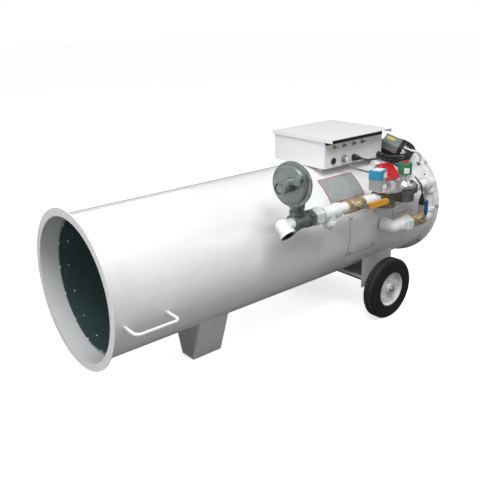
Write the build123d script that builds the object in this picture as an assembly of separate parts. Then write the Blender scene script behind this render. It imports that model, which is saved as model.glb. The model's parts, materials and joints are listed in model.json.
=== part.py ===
from build123d import *
import os
from math import cos, sin, radians, pi, sqrt, hypot

# Forced air heater: a long horizontal tube with a burner and a fan inside, a gas train along its
# near side, a control box on top, a foot under the outlet end and two wheels under the fan end.
# Millimetres. X runs along the tube from the outlet to the fan, Y away from the gas train, Z up.
# Everything is drawn about the tube's axis, with X = 0 at the outlet, and moved to the row's
# origin, on the ground below the middle of the bounding box, when it is written.

# Driving dimensions: casing
SHELL_R = 250.0
SHELL_LENGTH = 1645.0
SHEET = 2.0
AXIS_HEIGHT = 413.5
OUTLET_RING_R = 275.5
REAR_RING_R = 268.0
RING_SHEET = 3.0
RING_COLLAR = 25.0
RING_HOLES = 8
OUTLET_HOLE_CIRCLE_R = 264.0
REAR_HOLE_CIRCLE_R = 261.0
RING_HOLE_R = 4.5

# Inner liner and burner
LINER_R = 236.0
LINER_SHEET = 1.2
LINER_START = 64.0
LINER_END = 1180.0
STANDOFF_STATIONS = (150.0, 620.0, 1100.0)
STANDOFFS_ROUND = 6
STANDOFF_R = 5.0
BAFFLE_X = 1080.0
BAFFLE_SHEET = 2.0
BURNER_LENGTH = 180.0
BURNER_MOUTH_R = 150.0
BURNER_NECK_R = 60.0
BURNER_SHEET = 1.5
BURNER_HOLE_R = 6.0
BURNER_HOLE_ROWS = 3
BURNER_HOLES_ROUND = 12
NOZZLE_R = 16.0
NOZZLE_END = 1088.0

# Fan and motor
MOTOR_R = 80.0
MOTOR_START = 1340.0
MOTOR_END = 1500.0
SHAFT_R = 8.0
RUNNING_GAP = 0.05
FAN_X = 1575.0
FAN_HUB_R = 48.0
FAN_HUB_LENGTH = 40.0
FAN_R = 228.0
FAN_BLADES = 6
BLADE_CHORD = 92.0
BLADE_SHEET = 2.5
BLADE_PITCH = 28.0
GUARD_WIRE_R = 2.0
GUARD_RING_RADII = (45.0, 95.0, 145.0, 195.0, 245.0)
GUARD_SPOKES = 8
GUARD_SPOKE_R = 254.0
GUARD_WELD = 0.02

# Undercarriage
FOOT_FRONT = 438.0
FOOT_REAR = 572.0
FOOT_TOP_HALF = 92.0
FOOT_SOLE_HALF = 37.0
FOOT_SHEET = 3.0
FOOT_LIP = 15.0
BRACKET_FRONT = 1232.0
BRACKET_REAR = 1425.0
BRACKET_HALF = 190.0
BRACKET_SHEET = 4.0
BRACKET_BOTTOM = -300.0
BRACKET_WEB_Z = -256.0
BRACKET_LIP = 10.0
AXLE_X = 1283.0
AXLE_R = 9.5
WHEEL_R = 131.0
AXLE_Z = WHEEL_R - AXIS_HEIGHT
TYRE_WIDTH = 52.0
TYRE_INNER_R = 74.0
WHEEL_OUTER_Y = 309.0
WHEEL_Y = WHEEL_OUTER_Y - TYRE_WIDTH / 2
RIM_WIDTH = 46.0
RIM_SHEET = 3.0
HUB_R = 19.0
HUB_HALF = 22.0

# Side handles
HANDLE_START = 50.0
HANDLE_END = 206.0
HANDLE_Z = -55.0
HANDLE_REACH = 314.0
HANDLE_R = 5.5
HANDLE_BEND_R = 20.0

# Access door
DOOR_FRONT = 1071.0
DOOR_REAR = 1240.0
DOOR_LOW = -95.0
DOOR_HIGH = 72.0
DOOR_SHEET = 1.5

# Control box and its lid
BOX_FRONT = 1030.0
BOX_REAR = 1376.5
BOX_HALF = 141.4
BOX_BOTTOM = 250.0
BOX_RIM = 368.0
BOX_SHEET = 1.5
LID_SIDE = 6.5
LID_OVERHANG = 43.3
LID_TOP = 371.5
LID_SKIRT_BOTTOM = 357.0
LID_NEAR_LIP = 3.0
HINGE_R = 4.0
HINGE_PIN_R = 1.5
HINGE_Y = BOX_HALF + LID_SIDE + HINGE_R + 0.8
HINGE_Z = LID_SKIRT_BOTTOM
HINGE_STATIONS = (1060.0, 1120.0, 1180.0, 1240.0, 1300.0)
HINGE_KNUCKLE = 38.0
TOGGLE_X = (1082.0, 1137.0, 1197.0, 1250.0)
TOGGLE_Z = 331.0
TOGGLE_TILT = 11.0
BUTTON_X = 1079.0
BUTTON_Z = 276.0
BUTTON_R = 11.0
BUTTON_TRAVEL = 3.0
GLAND_PLACES = ((1201.0, 273.0), (1358.0, 260.0))
GLAND_R = 12.0
GLAND_REACH = 26.0
CONDUIT_X = 1140.0
CONDUIT_Z = 279.0
CONDUIT_R = 4.0

# Gas train, in 1 1/4 inch pipe
TRAIN_Y = -310.0
UPPER_Z = 147.0
LOWER_Z = 0.0
PIPE_R = 21.0
BORE_R = 17.0
FITTING_R = 25.0
COLLAR_R = 28.5
COLLAR_LENGTH = 13.0
ELBOW_REACH = 40.0
INLET_X = 645.0
INLET_TURN = 48.0
REGULATOR_X = (690.0, 782.0)
REGULATOR_NECK_X = 714.0
REGULATOR_CASE_Z = 287.0
REGULATOR_CASE_R = 79.0
REGULATOR_DISH_R = 66.0
REGULATOR_FLANGE = 4.0
REGULATOR_FRONT_DEPTH = 14.0
REGULATOR_REAR_DEPTH = 26.0
REGULATOR_TOWER_R = 23.0
REGULATOR_TOWER_REACH = 72.0
REGULATOR_TOWER_RECESS = 9.0
REGULATOR_TURN = 10.0
REGULATOR_BOLTS = 8
REGULATOR_BOLT_CIRCLE_R = 73.0
UPPER_UNION_X = (790.0, 829.0)
TEE_X = (834.0, 918.0)
TEE_DROP = 44.0
INLET_VALVE_X = (965.0, 1054.0)
INLET_STEM_X = 1004.0
SAFETY_X = 1200.0
SAFETY_HALF = 52.0
SAFETY_DISC_R = 63.0
SAFETY_DISC_Z = (172.0, 181.0)
ACTUATOR_X = 1146.0
ACTUATOR_SIZE = (58.0, 51.0)
ACTUATOR_TURN = 14.0
ACTUATOR_Z = (181.0, 224.0)
COVER_TOP_Z = 259.5
SOLENOID_X = 1314.0
SOLENOID_HALF = 56.0
SOLENOID_DISC_R = 48.0
SOLENOID_DISC_Z = (162.0, 171.0)
COIL_HOUSING_R = 27.5
COIL_HOUSING_Z = (213.0, 259.0)
RISER_X = 1493.0
OUTLET_VALVE_X = (1370.0, 1453.0)
OUTLET_STEM_X = 1403.0
LOWER_UNION_X = (1310.0, 1366.0)
SHELL_ELBOW_X = 1270.0
SHELL_ELBOW_END = -254.0
SWITCH_X = 1447.0
SWITCH_HEX_Z = 31.5
SWITCH_BOOT_Z = 58.0
VALVE_HEX = 51.0
VALVE_HOUSING_R = 28.0
LEVER_PLANE = -345.0
LEVER_SHEET = 3.0
LEVER_CRANK = 15.0
STEM_R = 6.0
BALL_R = 22.0

# Flame safeguard, on the shell beside the control box
SAFEGUARD_X = 1372.0
SAFEGUARD_ANGLE = 45.0
SAFEGUARD_SIZE = (80.0, 79.0, 30.0)
SAFEGUARD_BASE_X = 1350.0
SAFEGUARD_BASE_ANGLE = 57.6
SAFEGUARD_BASE_SIZE = (47.0, 28.0, 24.0)

# Ignition transformer, raised on a bracket over the coiled cord
TRANSFORMER_X = 1452.0
TRANSFORMER_ANGLE = 65.1
TRANSFORMER_TURN = 26.0
TRANSFORMER_SIZE = (84.0, 74.0, 36.0)
TRANSFORMER_BASE_R = 304.0
TRANSFORMER_CAP = 16.0
TERMINAL_X = (-22.0, 14.0)
TERMINAL_LENGTH = 10.0
TRANSFORMER_BAR_X = (1422.0, 1500.0)
TRANSFORMER_LEGS = ((1447.0, 1459.0, 18.0), (1488.0, 1500.0, 8.0))

# Mains cord: a coil of loops in layers, with a lead from the box and a tail to the plug
CORD_R = 4.5
COIL_X = 1508.0
COIL_ANGLE = 65.5
COIL_BASE_R = 259.0
COIL_LAYERS = 4
COIL_TURNS = 5.5
COIL_PITCH = 11.4
COIL_HALF_ACROSS = 54.0
COIL_HALF_ALONG = 84.0
SWITCH_LEAD_R = 3.0
HT_LEAD_R = 4.2
GROMMET_X = 1608.0
GROMMET_ANGLE = 47.0
PLUG_START = (1426.0, 94.0, 244.5)

PARTS = "parts"


def rod(start, end, radius):
    start = Vector(*start)
    end = Vector(*end)
    run = end - start
    return Plane(origin=start, z_dir=run) * Pos(0, 0, run.length / 2) * Cylinder(radius, run.length)


def pipe(start, end, outer, inner):
    return rod(start, end, outer) - rod(start, end, inner)


def hex_bar(start, end, across_flats):
    start = Vector(*start)
    run = Vector(*end) - start
    outline = Plane(origin=start, z_dir=run) * RegularPolygon(across_flats / 2, 6, major_radius=False)
    return extrude(outline, run.length, dir=run.normalized())


def block(low, high):
    size = [b - a for a, b in zip(low, high)]
    middle = [(a + b) / 2 for a, b in zip(low, high)]
    return Pos(*middle) * Box(*size)


def along_tube(start, end, outer, inner=0.0):
    if inner > 0.0:
        return pipe((start, 0, 0), (end, 0, 0), outer, inner)
    return rod((start, 0, 0), (end, 0, 0), outer)


def on_shell(x, angle, radius):
    # A plane whose normal points out of the shell, at an angle above the near side; its x runs
    # along the tube and its y runs up round the shell.
    out = (0.0, -cos(radians(angle)), sin(radians(angle)))
    origin = (x, radius * out[1], radius * out[2])
    return Plane(origin=origin, x_dir=(1, 0, 0), z_dir=out)


def around(count, start=0.0):
    return [start + 360.0 * k / count for k in range(count)]


def shell_hull():
    return along_tube(-50.0, SHELL_LENGTH + 50.0, SHELL_R)


def bend_tube(points, bends, radius):
    path = FilletPolyline(*points, radius=bends)
    section = Plane(origin=path @ 0, z_dir=path % 0) * Circle(radius)
    return sweep(section, path=path)


def cord_bends(points):
    # Each bend is as large as its two runs allow, and the radii are printed.
    corners = [Vector(*p) for p in points]
    radii = []
    for before, corner, after in zip(corners, corners[1:], corners[2:]):
        turn = (corner - before).get_angle(after - corner)
        shorter = min((corner - before).length, (after - corner).length)
        radii.append(0.45 * shorter / sqrt((1 - cos(radians(turn))) / (1 + cos(radians(turn)))))
    return radii


def cord(name, points, radius):
    radii = cord_bends(points)
    print(name, "bend radii", [round(r, 1) for r in radii])
    tube = bend_tube(points, radii, radius)
    length = FilletPolyline(*points, radius=radii).length
    print(name, "length", round(length, 1), "volume ratio", round(tube.volume / (pi * radius**2 * length), 4))
    return tube


# Casing


def outer_shell():
    body = along_tube(0.0, SHELL_LENGTH, SHELL_R, SHELL_R - SHEET)
    gas_hole = rod((SHELL_ELBOW_X, -SHELL_R - 20, LOWER_Z), (SHELL_ELBOW_X, -SHELL_R / 2, LOWER_Z), PIPE_R)
    return body - gas_hole


def ring_holes(x, circle_r):
    holes = Part()
    for angle in around(RING_HOLES):
        y = circle_r * cos(radians(angle))
        z = circle_r * sin(radians(angle))
        holes += rod((x - 10, y, z), (x + 10, y, z), RING_HOLE_R)
    return holes


def outlet_flange():
    face = along_tube(0.0, RING_SHEET, OUTLET_RING_R, SHELL_R)
    collar = along_tube(0.0, RING_COLLAR, SHELL_R + RING_SHEET, SHELL_R)
    return face + collar - ring_holes(0.0, OUTLET_HOLE_CIRCLE_R)


def rear_ring():
    face = along_tube(SHELL_LENGTH - RING_SHEET, SHELL_LENGTH, REAR_RING_R, SHELL_R)
    collar = along_tube(SHELL_LENGTH - RING_COLLAR, SHELL_LENGTH, SHELL_R + RING_SHEET, SHELL_R)
    return face + collar - ring_holes(SHELL_LENGTH, REAR_HOLE_CIRCLE_R)


def intake_guard():
    # Wire rings welded on the back of radial wires that lie on the rear ring.
    spoke_x = SHELL_LENGTH + GUARD_WIRE_R
    ring_x = SHELL_LENGTH + 3 * GUARD_WIRE_R - GUARD_WELD
    guard = []
    for radius in GUARD_RING_RADII:
        guard.append(Pos(ring_x, 0, 0) * Rot(0, 90, 0) * Torus(radius, GUARD_WIRE_R))
    for angle in around(GUARD_SPOKES):
        y = cos(radians(angle))
        z = sin(radians(angle))
        start = (spoke_x, (GUARD_RING_RADII[0] - 3) * y, (GUARD_RING_RADII[0] - 3) * z)
        end = (spoke_x, GUARD_SPOKE_R * y, GUARD_SPOKE_R * z)
        guard.append(rod(start, end, GUARD_WIRE_R))
    return guard


def hex_bolts():
    # Ring bolts with their nuts, regulator case bolts and door screws.
    bolts = []
    for angle in around(RING_HOLES):
        y = REAR_HOLE_CIRCLE_R * cos(radians(angle))
        z = REAR_HOLE_CIRCLE_R * sin(radians(angle))
        front = SHELL_LENGTH - RING_SHEET
        shank = rod((front, y, z), (SHELL_LENGTH + 6, y, z), RING_HOLE_R)
        head = hex_bar((front - 5, y, z), (front, y, z), 11.0)
        nut = hex_bar((SHELL_LENGTH, y, z), (SHELL_LENGTH + 4.5, y, z), 11.0)
        bolts.append(shank + head + nut)
    for angle in around(REGULATOR_BOLTS, 22.5):
        y = REGULATOR_BOLT_CIRCLE_R * cos(radians(angle))
        z = REGULATOR_BOLT_CIRCLE_R * sin(radians(angle))
        front = -REGULATOR_FLANGE
        bolt = hex_bar((front - 3, y, z), (front, y, z), 8.0)
        nut = hex_bar((REGULATOR_FLANGE, y, z), (REGULATOR_FLANGE + 3, y, z), 8.0)
        bolts.append(regulator_place() * bolt)
        bolts.append(regulator_place() * nut)
    for x, z in door_screw_places():
        y = -sqrt((SHELL_R + DOOR_SHEET) ** 2 - z**2)
        out = Vector(0, y, z).normalized()
        start = Vector(x, y, z)
        bolts.append(rod(tuple(start), tuple(start + out * 3.0), 5.0))
    return bolts


def door_screw_places():
    return [
        (DOOR_FRONT + 10, DOOR_HIGH - 10),
        (DOOR_FRONT + 10, DOOR_LOW + 12),
        (DOOR_REAR - 14, DOOR_LOW + 12),
        (DOOR_REAR - 14, DOOR_HIGH - 10),
    ]


def access_door():
    skin = along_tube(DOOR_FRONT, DOOR_REAR, SHELL_R + DOOR_SHEET, SHELL_R)
    return skin & block((DOOR_FRONT, -SHELL_R - 20, DOOR_LOW), (DOOR_REAR, -SHELL_R / 2, DOOR_HIGH))


# Liner, burner and fan


def inner_liner():
    liner = along_tube(LINER_START, LINER_END, LINER_R, LINER_R - LINER_SHEET)
    for x in STANDOFF_STATIONS:
        for angle in around(STANDOFFS_ROUND, 30.0):
            place = on_shell(x, angle, 0.0)
            post = place * Pos(0, 0, (SHELL_R - SHEET + LINER_R) / 2)
            bar = post * Cylinder(STANDOFF_R, SHELL_R - LINER_R + 4)
            liner += bar & along_tube(x - 20, x + 20, SHELL_R - SHEET, LINER_R - LINER_SHEET / 2)
    return liner


def burner_cone():
    start = BAFFLE_X - BURNER_LENGTH
    place = Plane(origin=(BAFFLE_X, 0, 0), z_dir=(-1, 0, 0))
    solid = place * Pos(0, 0, BURNER_LENGTH / 2) * Cone(BURNER_NECK_R, BURNER_MOUTH_R, BURNER_LENGTH)
    hollow = place * Pos(0, 0, BURNER_LENGTH / 2) * Cone(
        BURNER_NECK_R - BURNER_SHEET, BURNER_MOUTH_R - BURNER_SHEET, BURNER_LENGTH
    )
    cone = solid - hollow
    slope = (BURNER_MOUTH_R - BURNER_NECK_R) / BURNER_LENGTH
    for row in range(BURNER_HOLE_ROWS):
        x = start + BURNER_LENGTH * (0.2 + 0.28 * row)
        reach = BURNER_MOUTH_R - slope * (x - start)
        for angle in around(BURNER_HOLES_ROUND, 15.0 * row):
            y = cos(radians(angle))
            z = sin(radians(angle))
            inner = (x, (reach - 12) * y, (reach - 12) * z)
            outer = (x, (reach + 12) * y, (reach + 12) * z)
            cone -= rod(inner, outer, BURNER_HOLE_R)
    return cone


def burner_baffle():
    plate = along_tube(BAFFLE_X, BAFFLE_X + BAFFLE_SHEET, LINER_R - LINER_SHEET, BURNER_NECK_R)
    for angle in around(12):
        y = 190.0 * cos(radians(angle))
        z = 190.0 * sin(radians(angle))
        plate -= rod((BAFFLE_X - 5, y, z), (BAFFLE_X + 10, y, z), 20.0)
    for k in range(2):
        x, y, z = electrode_place(k)
        plate -= rod((BAFFLE_X - 5, y, z), (BAFFLE_X + 10, y, z), 6.0)
    return plate


def gas_injector():
    shank = rod((SHELL_ELBOW_X, SHELL_ELBOW_END, LOWER_Z), (SHELL_ELBOW_X, PIPE_R, LOWER_Z), PIPE_R)
    nose = rod((NOZZLE_END, 0, LOWER_Z), (SHELL_ELBOW_X, 0, LOWER_Z), NOZZLE_R)
    spreader = rod((NOZZLE_END - 14, 0, LOWER_Z), (NOZZLE_END, 0, LOWER_Z), NOZZLE_R + 10)
    body = shank + nose + spreader
    body -= rod((SHELL_ELBOW_X, -SHELL_R - 20, LOWER_Z), (SHELL_ELBOW_X, 0, LOWER_Z), BORE_R - 1)
    body -= rod((NOZZLE_END - 4, 0, LOWER_Z), (SHELL_ELBOW_X, 0, LOWER_Z), NOZZLE_R - 4)
    for angle in around(8):
        y = 10.0 * cos(radians(angle))
        z = 10.0 * sin(radians(angle))
        body -= rod((NOZZLE_END - 20, y, z), (NOZZLE_END, y, z), 1.6)
    return body


def electrode_place(k):
    return BAFFLE_X, 84.0 * (1 - 2 * k), 60.0


def electrodes():
    # Spark electrode and flame rod: a ceramic sleeve through the baffle with a thin rod in it.
    pieces = []
    for k in range(2):
        x, y, z = electrode_place(k)
        sleeve = rod((x - 22, y, z), (x + 45, y, z), 6.0)
        tip = rod((x - 70, y, z), (x - 22, y, z), 1.5)
        stud = rod((x + 45, y, z), (x + 57, y, z), 2.0)
        pieces.append(sleeve + tip + stud)
    return pieces


def fan_motor():
    can = rod((MOTOR_START + 12, 0, 0), (MOTOR_END - 12, 0, 0), MOTOR_R)
    rear_bell = Plane(origin=(MOTOR_END - 12, 0, 0), z_dir=(1, 0, 0)) * Pos(0, 0, 6) * Cone(MOTOR_R - 2, 50, 12)
    front_bell = Plane(origin=(MOTOR_START + 12, 0, 0), z_dir=(-1, 0, 0)) * Pos(0, 0, 6) * Cone(MOTOR_R - 2, 50, 12)
    bore = rod((MOTOR_END - 70, 0, 0), (MOTOR_END + 10, 0, 0), SHAFT_R + RUNNING_GAP)
    return can + rear_bell + front_bell - bore


def motor_mount():
    # A band round the motor and four arms out to the shell.
    middle = (MOTOR_START + MOTOR_END) / 2
    mount = along_tube(middle - 15, middle + 15, MOTOR_R + 4, MOTOR_R)
    for angle in around(4, 45.0):
        arm = Pos(middle, 0, 0) * Rot(angle, 0, 0) * block(
            (-15, -2, MOTOR_R + 2), (15, 2, SHELL_R - SHEET + 10)
        )
        mount += arm
    return mount & along_tube(middle - 20, middle + 20, SHELL_R - SHEET)


def fan_rotor():
    hub = along_tube(FAN_X - FAN_HUB_LENGTH / 2, FAN_X + FAN_HUB_LENGTH / 2, FAN_HUB_R, SHAFT_R)
    fan = hub
    for angle in around(FAN_BLADES):
        plate = Pos(0, 0, (FAN_R + FAN_HUB_R - 6) / 2) * Box(BLADE_SHEET, BLADE_CHORD, FAN_R - FAN_HUB_R + 6)
        blade = Rot(0, 0, BLADE_PITCH) * plate
        fan += Pos(FAN_X, 0, 0) * Rot(angle, 0, 0) * blade
    rounded = fan & along_tube(FAN_X - 60, FAN_X + 60, FAN_R, SHAFT_R)
    shaft = rod((MOTOR_END - 69, 0, 0), (FAN_X + FAN_HUB_LENGTH / 2 + 6, 0, 0), SHAFT_R)
    return [rounded, shaft]


# Undercarriage


def yz_prism(points, start, end):
    outline = make_face(Polyline(*[(start, y, z) for y, z in points], close=True))
    return extrude(outline, end - start, dir=(1, 0, 0))


def front_foot():
    ground = -AXIS_HEIGHT
    top = -150.0
    lean = (FOOT_TOP_HALF - FOOT_SOLE_HALF) / (-238.0 - ground)
    top_half = FOOT_SOLE_HALF + lean * (top - ground)
    wall = FOOT_SHEET * hypot(1.0, lean)
    outer = [(-top_half, top), (-FOOT_SOLE_HALF, ground), (FOOT_SOLE_HALF, ground), (top_half, top)]
    sole_inner = FOOT_SOLE_HALF - wall + lean * FOOT_SHEET
    inner = [
        (-top_half + wall, top),
        (-sole_inner, ground + FOOT_SHEET),
        (sole_inner, ground + FOOT_SHEET),
        (top_half - wall, top),
    ]
    foot = yz_prism(outer, FOOT_FRONT, FOOT_REAR) - yz_prism(inner, FOOT_FRONT - 1, FOOT_REAR + 1)
    for side in (-1, 1):
        lip = [
            (side * (top_half - wall / 2), top),
            (side * (top_half - wall - FOOT_LIP), top),
            (side * (sole_inner - 4), ground + FOOT_SHEET / 2),
            (side * (FOOT_SOLE_HALF - wall / 2), ground + FOOT_SHEET / 2),
        ]
        foot += yz_prism(lip, FOOT_FRONT, FOOT_FRONT + FOOT_SHEET)
        foot += yz_prism(lip, FOOT_REAR - FOOT_SHEET, FOOT_REAR)
    return foot - shell_hull()


def axle_bracket():
    web = block(
        (BRACKET_FRONT, -BRACKET_HALF, BRACKET_WEB_Z), (BRACKET_REAR, BRACKET_HALF, BRACKET_WEB_Z + 3)
    )
    bracket = web
    for x in (BRACKET_FRONT, BRACKET_REAR - 3):
        bracket += block((x, -BRACKET_HALF, BRACKET_WEB_Z), (x + 3, BRACKET_HALF, BRACKET_WEB_Z + BRACKET_LIP))
    for side in (-1, 1):
        inner = side * (BRACKET_HALF - BRACKET_SHEET)
        outer = side * BRACKET_HALF
        bracket += block(
            (BRACKET_FRONT, min(inner, outer), BRACKET_BOTTOM), (BRACKET_REAR, max(inner, outer), -120.0)
        )
    axle_hole = rod((AXLE_X, -300, AXLE_Z), (AXLE_X, 300, AXLE_Z), AXLE_R)
    return bracket - shell_hull() - axle_hole


def axle():
    pieces = [rod((AXLE_X, -WHEEL_OUTER_Y - 8, AXLE_Z), (AXLE_X, WHEEL_OUTER_Y + 8, AXLE_Z), AXLE_R)]
    hub_inner = WHEEL_Y - HUB_HALF
    hub_outer = WHEEL_Y + HUB_HALF
    for side in (-1, 1):
        spacer = ((AXLE_X, side * BRACKET_HALF, AXLE_Z), (AXLE_X, side * (hub_inner - 0.4), AXLE_Z))
        cap = ((AXLE_X, side * (hub_outer + 0.4), AXLE_Z), (AXLE_X, side * (hub_outer + 5.0), AXLE_Z))
        pieces.append(pipe(*spacer, AXLE_R + 5, AXLE_R))
        pieces.append(pipe(*cap, AXLE_R + 6, AXLE_R))
    return pieces


def wheel_ring(side, y_start, y_end, outer, inner):
    return pipe((AXLE_X, side * y_start, AXLE_Z), (AXLE_X, side * y_end, AXLE_Z), outer, inner)


def tyre(side):
    inner_y = WHEEL_OUTER_Y - TYRE_WIDTH
    ring = wheel_ring(side, inner_y, WHEEL_OUTER_Y, WHEEL_R, TYRE_INNER_R)
    rims = [e for e in ring.edges().filter_by(GeomType.CIRCLE) if e.radius > WHEEL_R - 1]
    ring = fillet(rims, 15.0)
    for k in (-1, 0, 1):
        y = WHEEL_Y + 9.0 * k
        ring -= wheel_ring(side, y - 1.2, y + 1.2, WHEEL_R + 5, WHEEL_R - 2.5)
    return ring


def rim(side):
    half = RIM_WIDTH / 2
    barrel = wheel_ring(side, WHEEL_Y - half, WHEEL_Y + half, TYRE_INNER_R, TYRE_INNER_R - RIM_SHEET)
    disc_y = WHEEL_Y + 6.0
    disc = wheel_ring(side, disc_y, disc_y + RIM_SHEET, TYRE_INNER_R - RIM_SHEET / 2, HUB_R - 2)
    hub = wheel_ring(side, WHEEL_Y - HUB_HALF, WHEEL_Y + HUB_HALF, HUB_R, AXLE_R + RUNNING_GAP)
    wheel = barrel + disc + hub
    for angle in around(5, 90.0):
        x = AXLE_X + 46.0 * cos(radians(angle))
        z = AXLE_Z + 46.0 * sin(radians(angle))
        start = (x, side * (disc_y - 1), z)
        end = (x, side * (disc_y + RIM_SHEET + 4), z)
        wheel += rod(start, end, 11.0)
    return wheel


def side_handles():
    pieces = []
    for side in (-1, 1):
        points = [
            (HANDLE_START, side * (SHELL_R - 14), HANDLE_Z),
            (HANDLE_START, side * HANDLE_REACH, HANDLE_Z),
            (HANDLE_END, side * HANDLE_REACH, HANDLE_Z),
            (HANDLE_END, side * (SHELL_R - 14), HANDLE_Z),
        ]
        pieces.append(bend_tube(points, [HANDLE_BEND_R, HANDLE_BEND_R], HANDLE_R) - shell_hull())
    return pieces


# Control box


def panel_hole(x, z, radius):
    return rod((x, -BOX_HALF - 5, z), (x, -BOX_HALF + 10, z), radius)


def control_box():
    outer = block((BOX_FRONT, -BOX_HALF, BOX_BOTTOM), (BOX_REAR, BOX_HALF, BOX_RIM))
    t = BOX_SHEET
    inner = block((BOX_FRONT + t, -BOX_HALF + t, BOX_BOTTOM + t), (BOX_REAR - t, BOX_HALF - t, BOX_RIM + 5))
    box = outer - inner
    for x in TOGGLE_X:
        box -= panel_hole(x, TOGGLE_Z, 6.0)
    box -= panel_hole(BUTTON_X, BUTTON_Z, BUTTON_R + 2.0)
    saddles = []
    for x in (BOX_FRONT + 30, BOX_REAR - 33):
        saddle = block((x, -100, 200), (x + 3, 100, BOX_BOTTOM)) - shell_hull()
        saddles.append(saddle)
    pin = rod((HINGE_STATIONS[0], HINGE_Y, HINGE_Z), (HINGE_STATIONS[-1] + 40, HINGE_Y, HINGE_Z), HINGE_PIN_R)
    leaf = block((HINGE_STATIONS[0], BOX_HALF, HINGE_Z - HINGE_R), (HINGE_STATIONS[-1] + 40, HINGE_Y, HINGE_Z - 2.4))
    leaf = leaf + block((HINGE_STATIONS[0], BOX_HALF, HINGE_Z - 26), (HINGE_STATIONS[-1] + 40, BOX_HALF + 1.6, HINGE_Z - 2.4))
    for x in HINGE_STATIONS[1::2]:
        leaf -= block((x - 1.5, BOX_HALF + 1.6, HINGE_Z - 6), (x + HINGE_KNUCKLE + 1.5, HINGE_Y + 6, HINGE_Z))
    for x in HINGE_STATIONS[0::2]:
        leaf += hinge_knuckle(x, HINGE_PIN_R)
    leaf -= pin
    return [box] + saddles + [leaf, pin]


def hinge_knuckle(x, bore):
    return pipe((x, HINGE_Y, HINGE_Z), (x + HINGE_KNUCKLE, HINGE_Y, HINGE_Z), HINGE_R, bore)


def box_lid():
    front = -BOX_HALF - LID_OVERHANG
    rear = BOX_HALF + LID_SIDE
    left = BOX_FRONT - LID_SIDE
    right = BOX_REAR + LID_SIDE
    t = BOX_SHEET
    tray = block((left, front, LID_SKIRT_BOTTOM), (right, rear, LID_TOP))
    tray -= block((left + t, front + t, LID_SKIRT_BOTTOM - 5), (right - t, rear - t, LID_TOP - t))
    near_low = (left + t, front - 1, LID_SKIRT_BOTTOM - 5)
    tray -= block(near_low, (right - t, front + t + 1, LID_TOP - LID_NEAR_LIP))
    for x in HINGE_STATIONS[1::2]:
        tab = block((x, rear - t, HINGE_Z), (x + HINGE_KNUCKLE, HINGE_Y, HINGE_Z + HINGE_R))
        tray += tab + rod((x, HINGE_Y, HINGE_Z), (x + HINGE_KNUCKLE, HINGE_Y, HINGE_Z), HINGE_R)
        tray -= rod((x - 1, HINGE_Y, HINGE_Z), (x + HINGE_KNUCKLE + 1, HINGE_Y, HINGE_Z), HINGE_PIN_R + RUNNING_GAP)
    return tray


def box_gasket():
    return block((BOX_FRONT + 2, -BOX_HALF - 2.5, 344), (BOX_REAR - 2, -BOX_HALF, 356))


def box_internals():
    base = BOX_BOTTOM + BOX_SHEET
    strip = block((1060, 40, base), (1200, 75, base + 22))
    for k in range(7):
        x = 1070 + 20 * k
        strip -= block((x - 7, 30, base + 12), (x + 7, 48, base + 30))
        strip -= rod((x, 62, base + 12), (x, 62, base + 30), 3.0)
    relay = block((1230, -20, base), (1330, 80, base + 60))
    relay = fillet(relay.edges().filter_by(Axis.Z), 6.0)
    return [strip, relay]


def switch_bushings():
    pieces = []
    for x in TOGGLE_X:
        nut = hex_bar((x, -BOX_HALF - 3.5, TOGGLE_Z), (x, -BOX_HALF, TOGGLE_Z), 15.0)
        body = rod((x, -BOX_HALF, TOGGLE_Z), (x, -BOX_HALF + 24, TOGGLE_Z), 6.0)
        neck = rod((x, -BOX_HALF - 7, TOGGLE_Z), (x, -BOX_HALF, TOGGLE_Z), 5.5)
        socket = rod((x, -BOX_HALF - 8, TOGGLE_Z), (x, -BOX_HALF + 6, TOGGLE_Z), 4.2)
        pieces.append(nut + body + neck - socket)
    collar = rod((BUTTON_X, -BOX_HALF - 3, BUTTON_Z), (BUTTON_X, -BOX_HALF, BUTTON_Z), BUTTON_R + 3)
    barrel = rod((BUTTON_X, -BOX_HALF, BUTTON_Z), (BUTTON_X, -BOX_HALF + 28, BUTTON_Z), BUTTON_R + 2)
    well = rod((BUTTON_X, -BOX_HALF - 4, BUTTON_Z), (BUTTON_X, -BOX_HALF + 18, BUTTON_Z), BUTTON_R + 0.3)
    pieces.append(collar + barrel - well)
    return pieces


def toggle(x):
    # A small bat lever on a drum that turns across its bushing.
    pivot = Vector(x, -BOX_HALF - 1.0, TOGGLE_Z)
    out = Vector(0, -cos(radians(TOGGLE_TILT)), sin(radians(TOGGLE_TILT)))
    drum = rod((x - 2.6, pivot.Y, pivot.Z), (x + 2.6, pivot.Y, pivot.Z), 3.2)
    start = pivot + out * 2.0
    end = pivot + out * 20.0
    bat = Plane(origin=start, z_dir=out) * Pos(0, 0, 9.0) * Cone(1.8, 3.0, 18.0)
    tip = Pos(*end) * Sphere(3.0)
    return drum + bat + tip


def push_button():
    return rod((BUTTON_X, -BOX_HALF - 7, BUTTON_Z), (BUTTON_X, -BOX_HALF + 10, BUTTON_Z), BUTTON_R)


def box_glands():
    pieces = []
    for x, z in GLAND_PLACES:
        face = -BOX_HALF
        nut = hex_bar((x, face - 7, z), (x, face, z), 2 * GLAND_R + 1)
        dome = rod((x, face - 20, z), (x, face - 7, z), GLAND_R)
        nose = Plane(origin=(x, face - 20, z), z_dir=(0, -1, 0)) * Pos(0, 0, 3) * Cone(GLAND_R, 7.5, 6)
        pieces.append(nut + dome + nose)
    x, z = CONDUIT_X, CONDUIT_Z
    face = -BOX_HALF
    nut = hex_bar((x, face - 6, z), (x, face, z), 26.0)
    throat = rod((x, face - 18, z), (x, face - 6, z), 9.0)
    corner = Pos(x, face - 18, z) * Sphere(9.0)
    throat_down = rod((x, face - 18, z), conduit_end(), 9.0)
    pieces.append(nut + throat + corner + throat_down)
    pieces.append(shell_grommet())
    return pieces


# Gas train


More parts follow.
